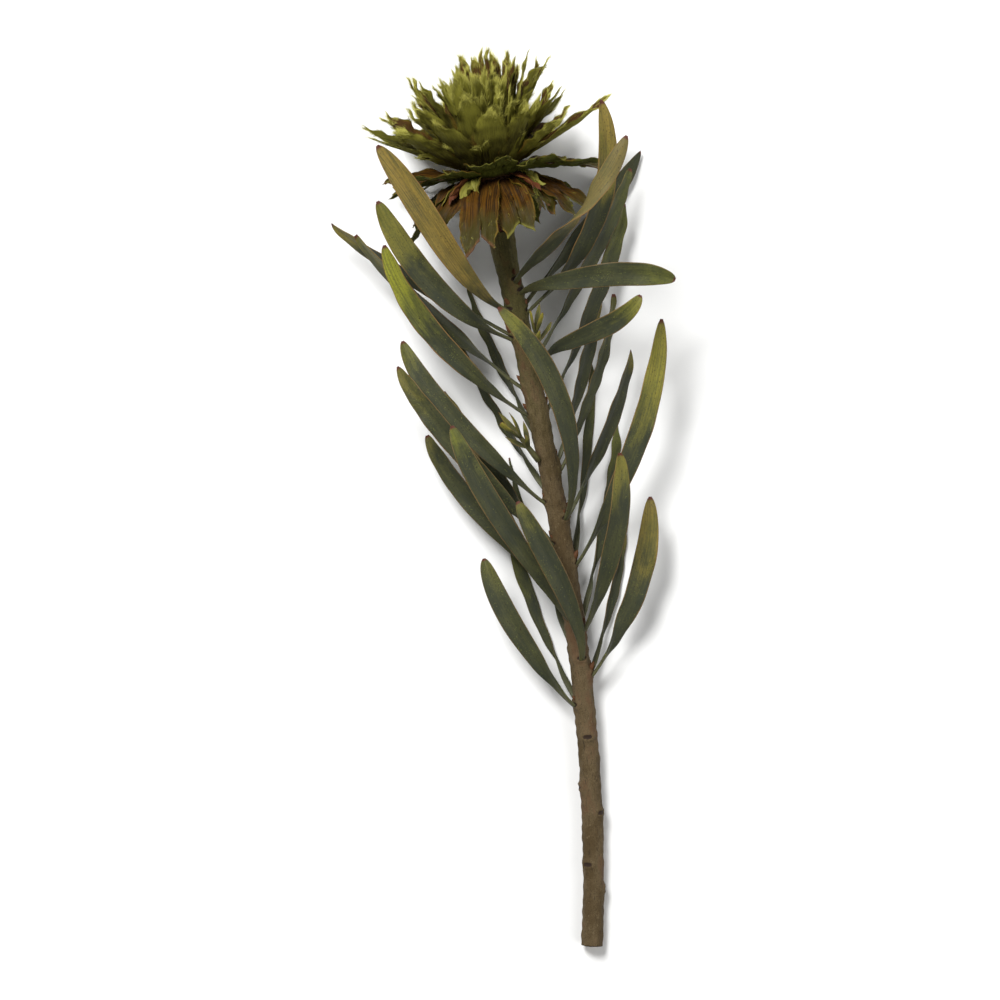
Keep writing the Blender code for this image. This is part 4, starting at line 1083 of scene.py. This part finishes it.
# Buds in the angles of the leaves: small pointed lathe shapes that lean away from the stem
budFinish = dict(
    above=1.7, sunk=0.5, lean=32, grown=(0.7, 1.35), sides=10, seed=61, lowest=0.3,
    profile=((0.1, -0.8), (0.75, -0.1), (1.0, 0.8), (0.85, 1.7), (0.5, 2.6), (0.08, 3.3)),
)
budColours = dict(
    scaleColours, inner=(0.045, 0.022, 0.010), innerWarm=(0.12, 0.055, 0.018), maroon=(0.09, 0.035, 0.016),
    felt=(0.06, 0.05, 0.012),
)
budDraw = np.random.default_rng(budFinish["seed"])
buds = []
for leaf in leaves:
    below = leaf["below"] - budFinish["above"]
    axisFrame = standOnStem(below, leaf["around"], budFinish["lean"], -budFinish["sunk"])
    profile = np.array(budFinish["profile"]) * budDraw.uniform(*budFinish["grown"])
    buds.append(lathePart(axisFrame, profile, budFinish["sides"]))
budPart = joinParts(buds)
budPart["points"][:, 2] = np.maximum(budPart["points"][:, 2], budFinish["lowest"])
addPiece("nodeBuds", budPart, skirtPaint("budSkin", budColours))
print("buds made:", len(buds))


# Hair. Each rule gives hairs per bract, where they grow, length, width, how far they stand off, stray
# from the bract's direction, bend back and fan out from the edges, and how bright they are at the tip.
# Those with no range across grow in a band along both edges
hairRules = {
    "crownHair_coat": dict(
        seed=71, count=970, along=(0.06, 0.99), across=(-0.98, 0.98), length=(1.6, 3.4), width=0.10,
        lift=(0.0, 0.05), stray=0.04, bend=-0.03, fan=0.0, bright=0.08,
    ),
    "crownHair_fringe": dict(
        seed=72, count=1000, along=(0.10, 1.0), across=None, length=(1.2, 3.2), width=0.030,
        lift=(-0.12, 0.16), stray=0.12, bend=0.06, fan=0.28, bright=0.18,
    ),
    "crownHair_tufts": dict(
        seed=73, count=1000, along=(0.78, 1.0), across=(-1, 1), length=(1.8, 4.4), width=0.030,
        lift=(-0.06, 0.20), stray=0.12, bend=0.04, fan=0.0, bright=0.48,
    ),
    "skirtCoat": dict(
        seed=75, count=620, along=(0.06, 0.98), across=(-0.98, 0.98), length=(1.2, 2.6), width=0.08,
        lift=(0.0, 0.12), stray=0.12, bend=-0.04, fan=0.0, bright=0.0,
    ),
    "skirtFringe": dict(
        seed=76, count=420, along=(0.10, 1.0), across=None, length=(0.5, 1.5), width=0.040,
        lift=(-0.1, 0.3), stray=0.22, bend=0.08, fan=0.6, bright=0.15,
    ),
}
hairShape = dict(
    fullLength=40, sheltered=0.11, levels=5, edgeBand=0.12, step=0.004, sideStep=0.01, sunk=0.05,
    combed=(1.5, 8), combedStray=0.06, wander=0.05, widthUnrest=(0.7, 1.3), toneUnrest=(-0.08, 0.10),
    lowest=0.6,
)


def hairsOnBract(axisFrame, bract, rule, draw):
    # roots at random places on the outer face; each hair runs to the tip, stands off and strays sideways,
    # and neighbours stray together, because a ripple over the face turns them
    shape = hairShape
    count = int(rule["count"] * min(bract["length"] / shape["fullLength"], 1.0))
    hidden = shape["sheltered"] * (bract["level"] % shape["levels"])
    along = hidden + draw.uniform(*rule["along"], count) * (1 - hidden)
    side = 0.0
    if rule["across"] is None:
        across = draw.uniform(-1, 1, count)
        side = np.sign(across)
        across = side * (1 - shape["edgeBand"] * np.abs(across))
        side = side[:, None]
    else:
        across = draw.uniform(*rule["across"], count)
    root = bractPoint(axisFrame, bract, along, across)
    ahead = bractPoint(axisFrame, bract, np.minimum(along + shape["step"], 1.0), across)
    ahead = unit(ahead - bractPoint(axisFrame, bract, along - shape["step"], across) + 1e-9)
    beside = bractPoint(axisFrame, bract, along, np.minimum(across + shape["sideStep"], 1))
    beside = beside - bractPoint(axisFrame, bract, along, np.maximum(across - shape["sideStep"], -1))
    outer = unit(np.cross(beside, ahead) + 1e-9)
    sideways = np.cross(ahead, outer)
    half, far = across * bract["width"] * 0.5, along * bract["length"] * 0.4
    combed = ripple(half, far, bract["seed"] + 9, *shape["combed"])
    lift = draw.uniform(*rule["lift"], count)[:, None]
    stray = (draw.normal(0, rule["stray"], count) + shape["combedStray"] * combed)[:, None]
    start = unit(ahead + lift * outer + (stray + rule["fan"] * side) * sideways)
    wander = draw.normal(0, shape["wander"], (count, 3))
    bend = rule["bend"] * outer + 0.5 * stray * sideways + wander
    length = draw.uniform(*rule["length"], count) * (1 - 0.25 * smoothStep(along, 0.7, 1.0))
    width = rule["width"] * draw.uniform(*shape["widthUnrest"], count)
    width = width * (1 - 0.45 * smoothStep(along, 0.5, 0.95))
    # painted shade: the tone darkens towards the bract's edges and its foot, where the bracts overlap; its
    # rise to the tip is partly the real paler tips and partly painted shade at the foot
    shade = 0.22 * smoothStep(np.abs(across), 0.5, 1.0) * (1 - along)
    tone = 0.02 + 0.34 * along**1.5 + 0.36 * bract["tone"] * (0.3 + 0.7 * along) + 0.14 * combed - shade
    bright = rule["bright"] * smoothStep(along, 0.72, 1.0)
    tone = np.clip(tone + draw.uniform(*shape["toneUnrest"], count) + bright, 0, 1)
    hairs = hairPart(root - outer * shape["sunk"], start, bend, length, width, outer, tone)
    hairs["points"][:, 2] = np.maximum(hairs["points"][:, 2], shape["lowest"])
    return hairs


hairColours = dict(dark=(0.030, 0.022, 0.004), middle=(0.132, 0.120, 0.014), pale=(0.55, 0.52, 0.12))


def hairPaint(name, colours):
    # hair from brown-green to pale lime by its own tone, which carries painted shade at the bracts' feet and
    # edges, a little paler at its tip
    paint = Paint(name, colours, specular=0.10)
    along, tone = paint.mark("blade")[:2]
    shade = tone + 0.10 * along
    colour = paint.blend(paint.ramp(shade, 0.02, 0.42), "dark", "middle")
    colour = paint.blend(paint.ramp(shade, 0.42, 1.0), colour, "pale")
    return paint.finish(colour, paint.ramp(tone, 0, 1, 0.7, 0.85))


hairMaterial = hairPaint("bractHair", hairColours)
for name, rule in hairRules.items():
    wearers, slotName = (crownBracts, "crown") if name.startswith("crown") else (skirtBracts, "skirt")
    draw = np.random.default_rng(rule["seed"])
    hairs = joinParts([hairsOnBract(headFrame, bract, rule, draw) for bract in wearers])
    addPiece(name, hairs, hairMaterial, smooth=False)
    print("hair made:", name, len(hairs["tris"]), "triangles")


# The floor, the light and the camera
studio = dict(
    floorSize=6.0, floorColour=(0.86, 0.86, 0.85), speckle=900.0, speckleShade=0.985, sky=0.22,
    lens=100, height=1.19, aim=(0, 0.05, 0.04), lights=(
        dict(name="keyLight", place=(-0.45, 0.75, 1.25), size=0.5, energy=30),
        dict(name="fillLight", place=(0.9, -0.3, 1.0), size=1.0, energy=7),
    ),
)


def placeObject(name, data, place=(0, 0, 0)):
    thing = bpy.data.objects.new(name, data)
    thing.location = place
    bpy.context.scene.collection.objects.link(thing)
    return thing


floorMesh = bpy.data.meshes.new("floor")
edge = 0.5 * studio["floorSize"]
corners = [(-edge, -edge, 0), (edge, -edge, 0), (edge, edge, 0), (-edge, edge, 0)]
floorMesh.from_pydata(corners, [], [(0, 1, 2, 3)])
floorPaint = Paint("floorPaper")
here = floorPaint.node("ShaderNodeTexCoord", {}, {}, "Object")
shaded = tuple(studio["speckleShade"] * part for part in studio["floorColour"])
speckle = floorPaint.noise(here, 2, 0.55, scale=studio["speckle"])
floorMesh.materials.append(floorPaint.finish(floorPaint.blend(speckle, studio["floorColour"], shaded), 0.9))
placeObject("floor", floorMesh)

for light in studio["lights"]:
    lamp = bpy.data.lights.new(light["name"], "AREA")
    lamp.size = light["size"]
    lamp.energy = light["energy"]
    away = Vector(light["place"]) - Vector(studio["aim"])
    placeObject(light["name"], lamp, light["place"]).rotation_euler = away.to_track_quat("Z", "Y").to_euler()

world = bpy.data.worlds.new("sky")
world.use_nodes = True
background = world.node_tree.nodes["Background"]
background.inputs["Color"].default_value = (1, 1, 1, 1)
background.inputs["Strength"].default_value = studio["sky"]
bpy.context.scene.world = world

cameraData = bpy.data.cameras.new("camera")
cameraData.lens = studio["lens"]
bpy.context.scene.camera = placeObject("camera", cameraData, (0, 0, studio["height"]))
bpy.context.scene.view_settings.view_transform = "Standard"
print("studio made")
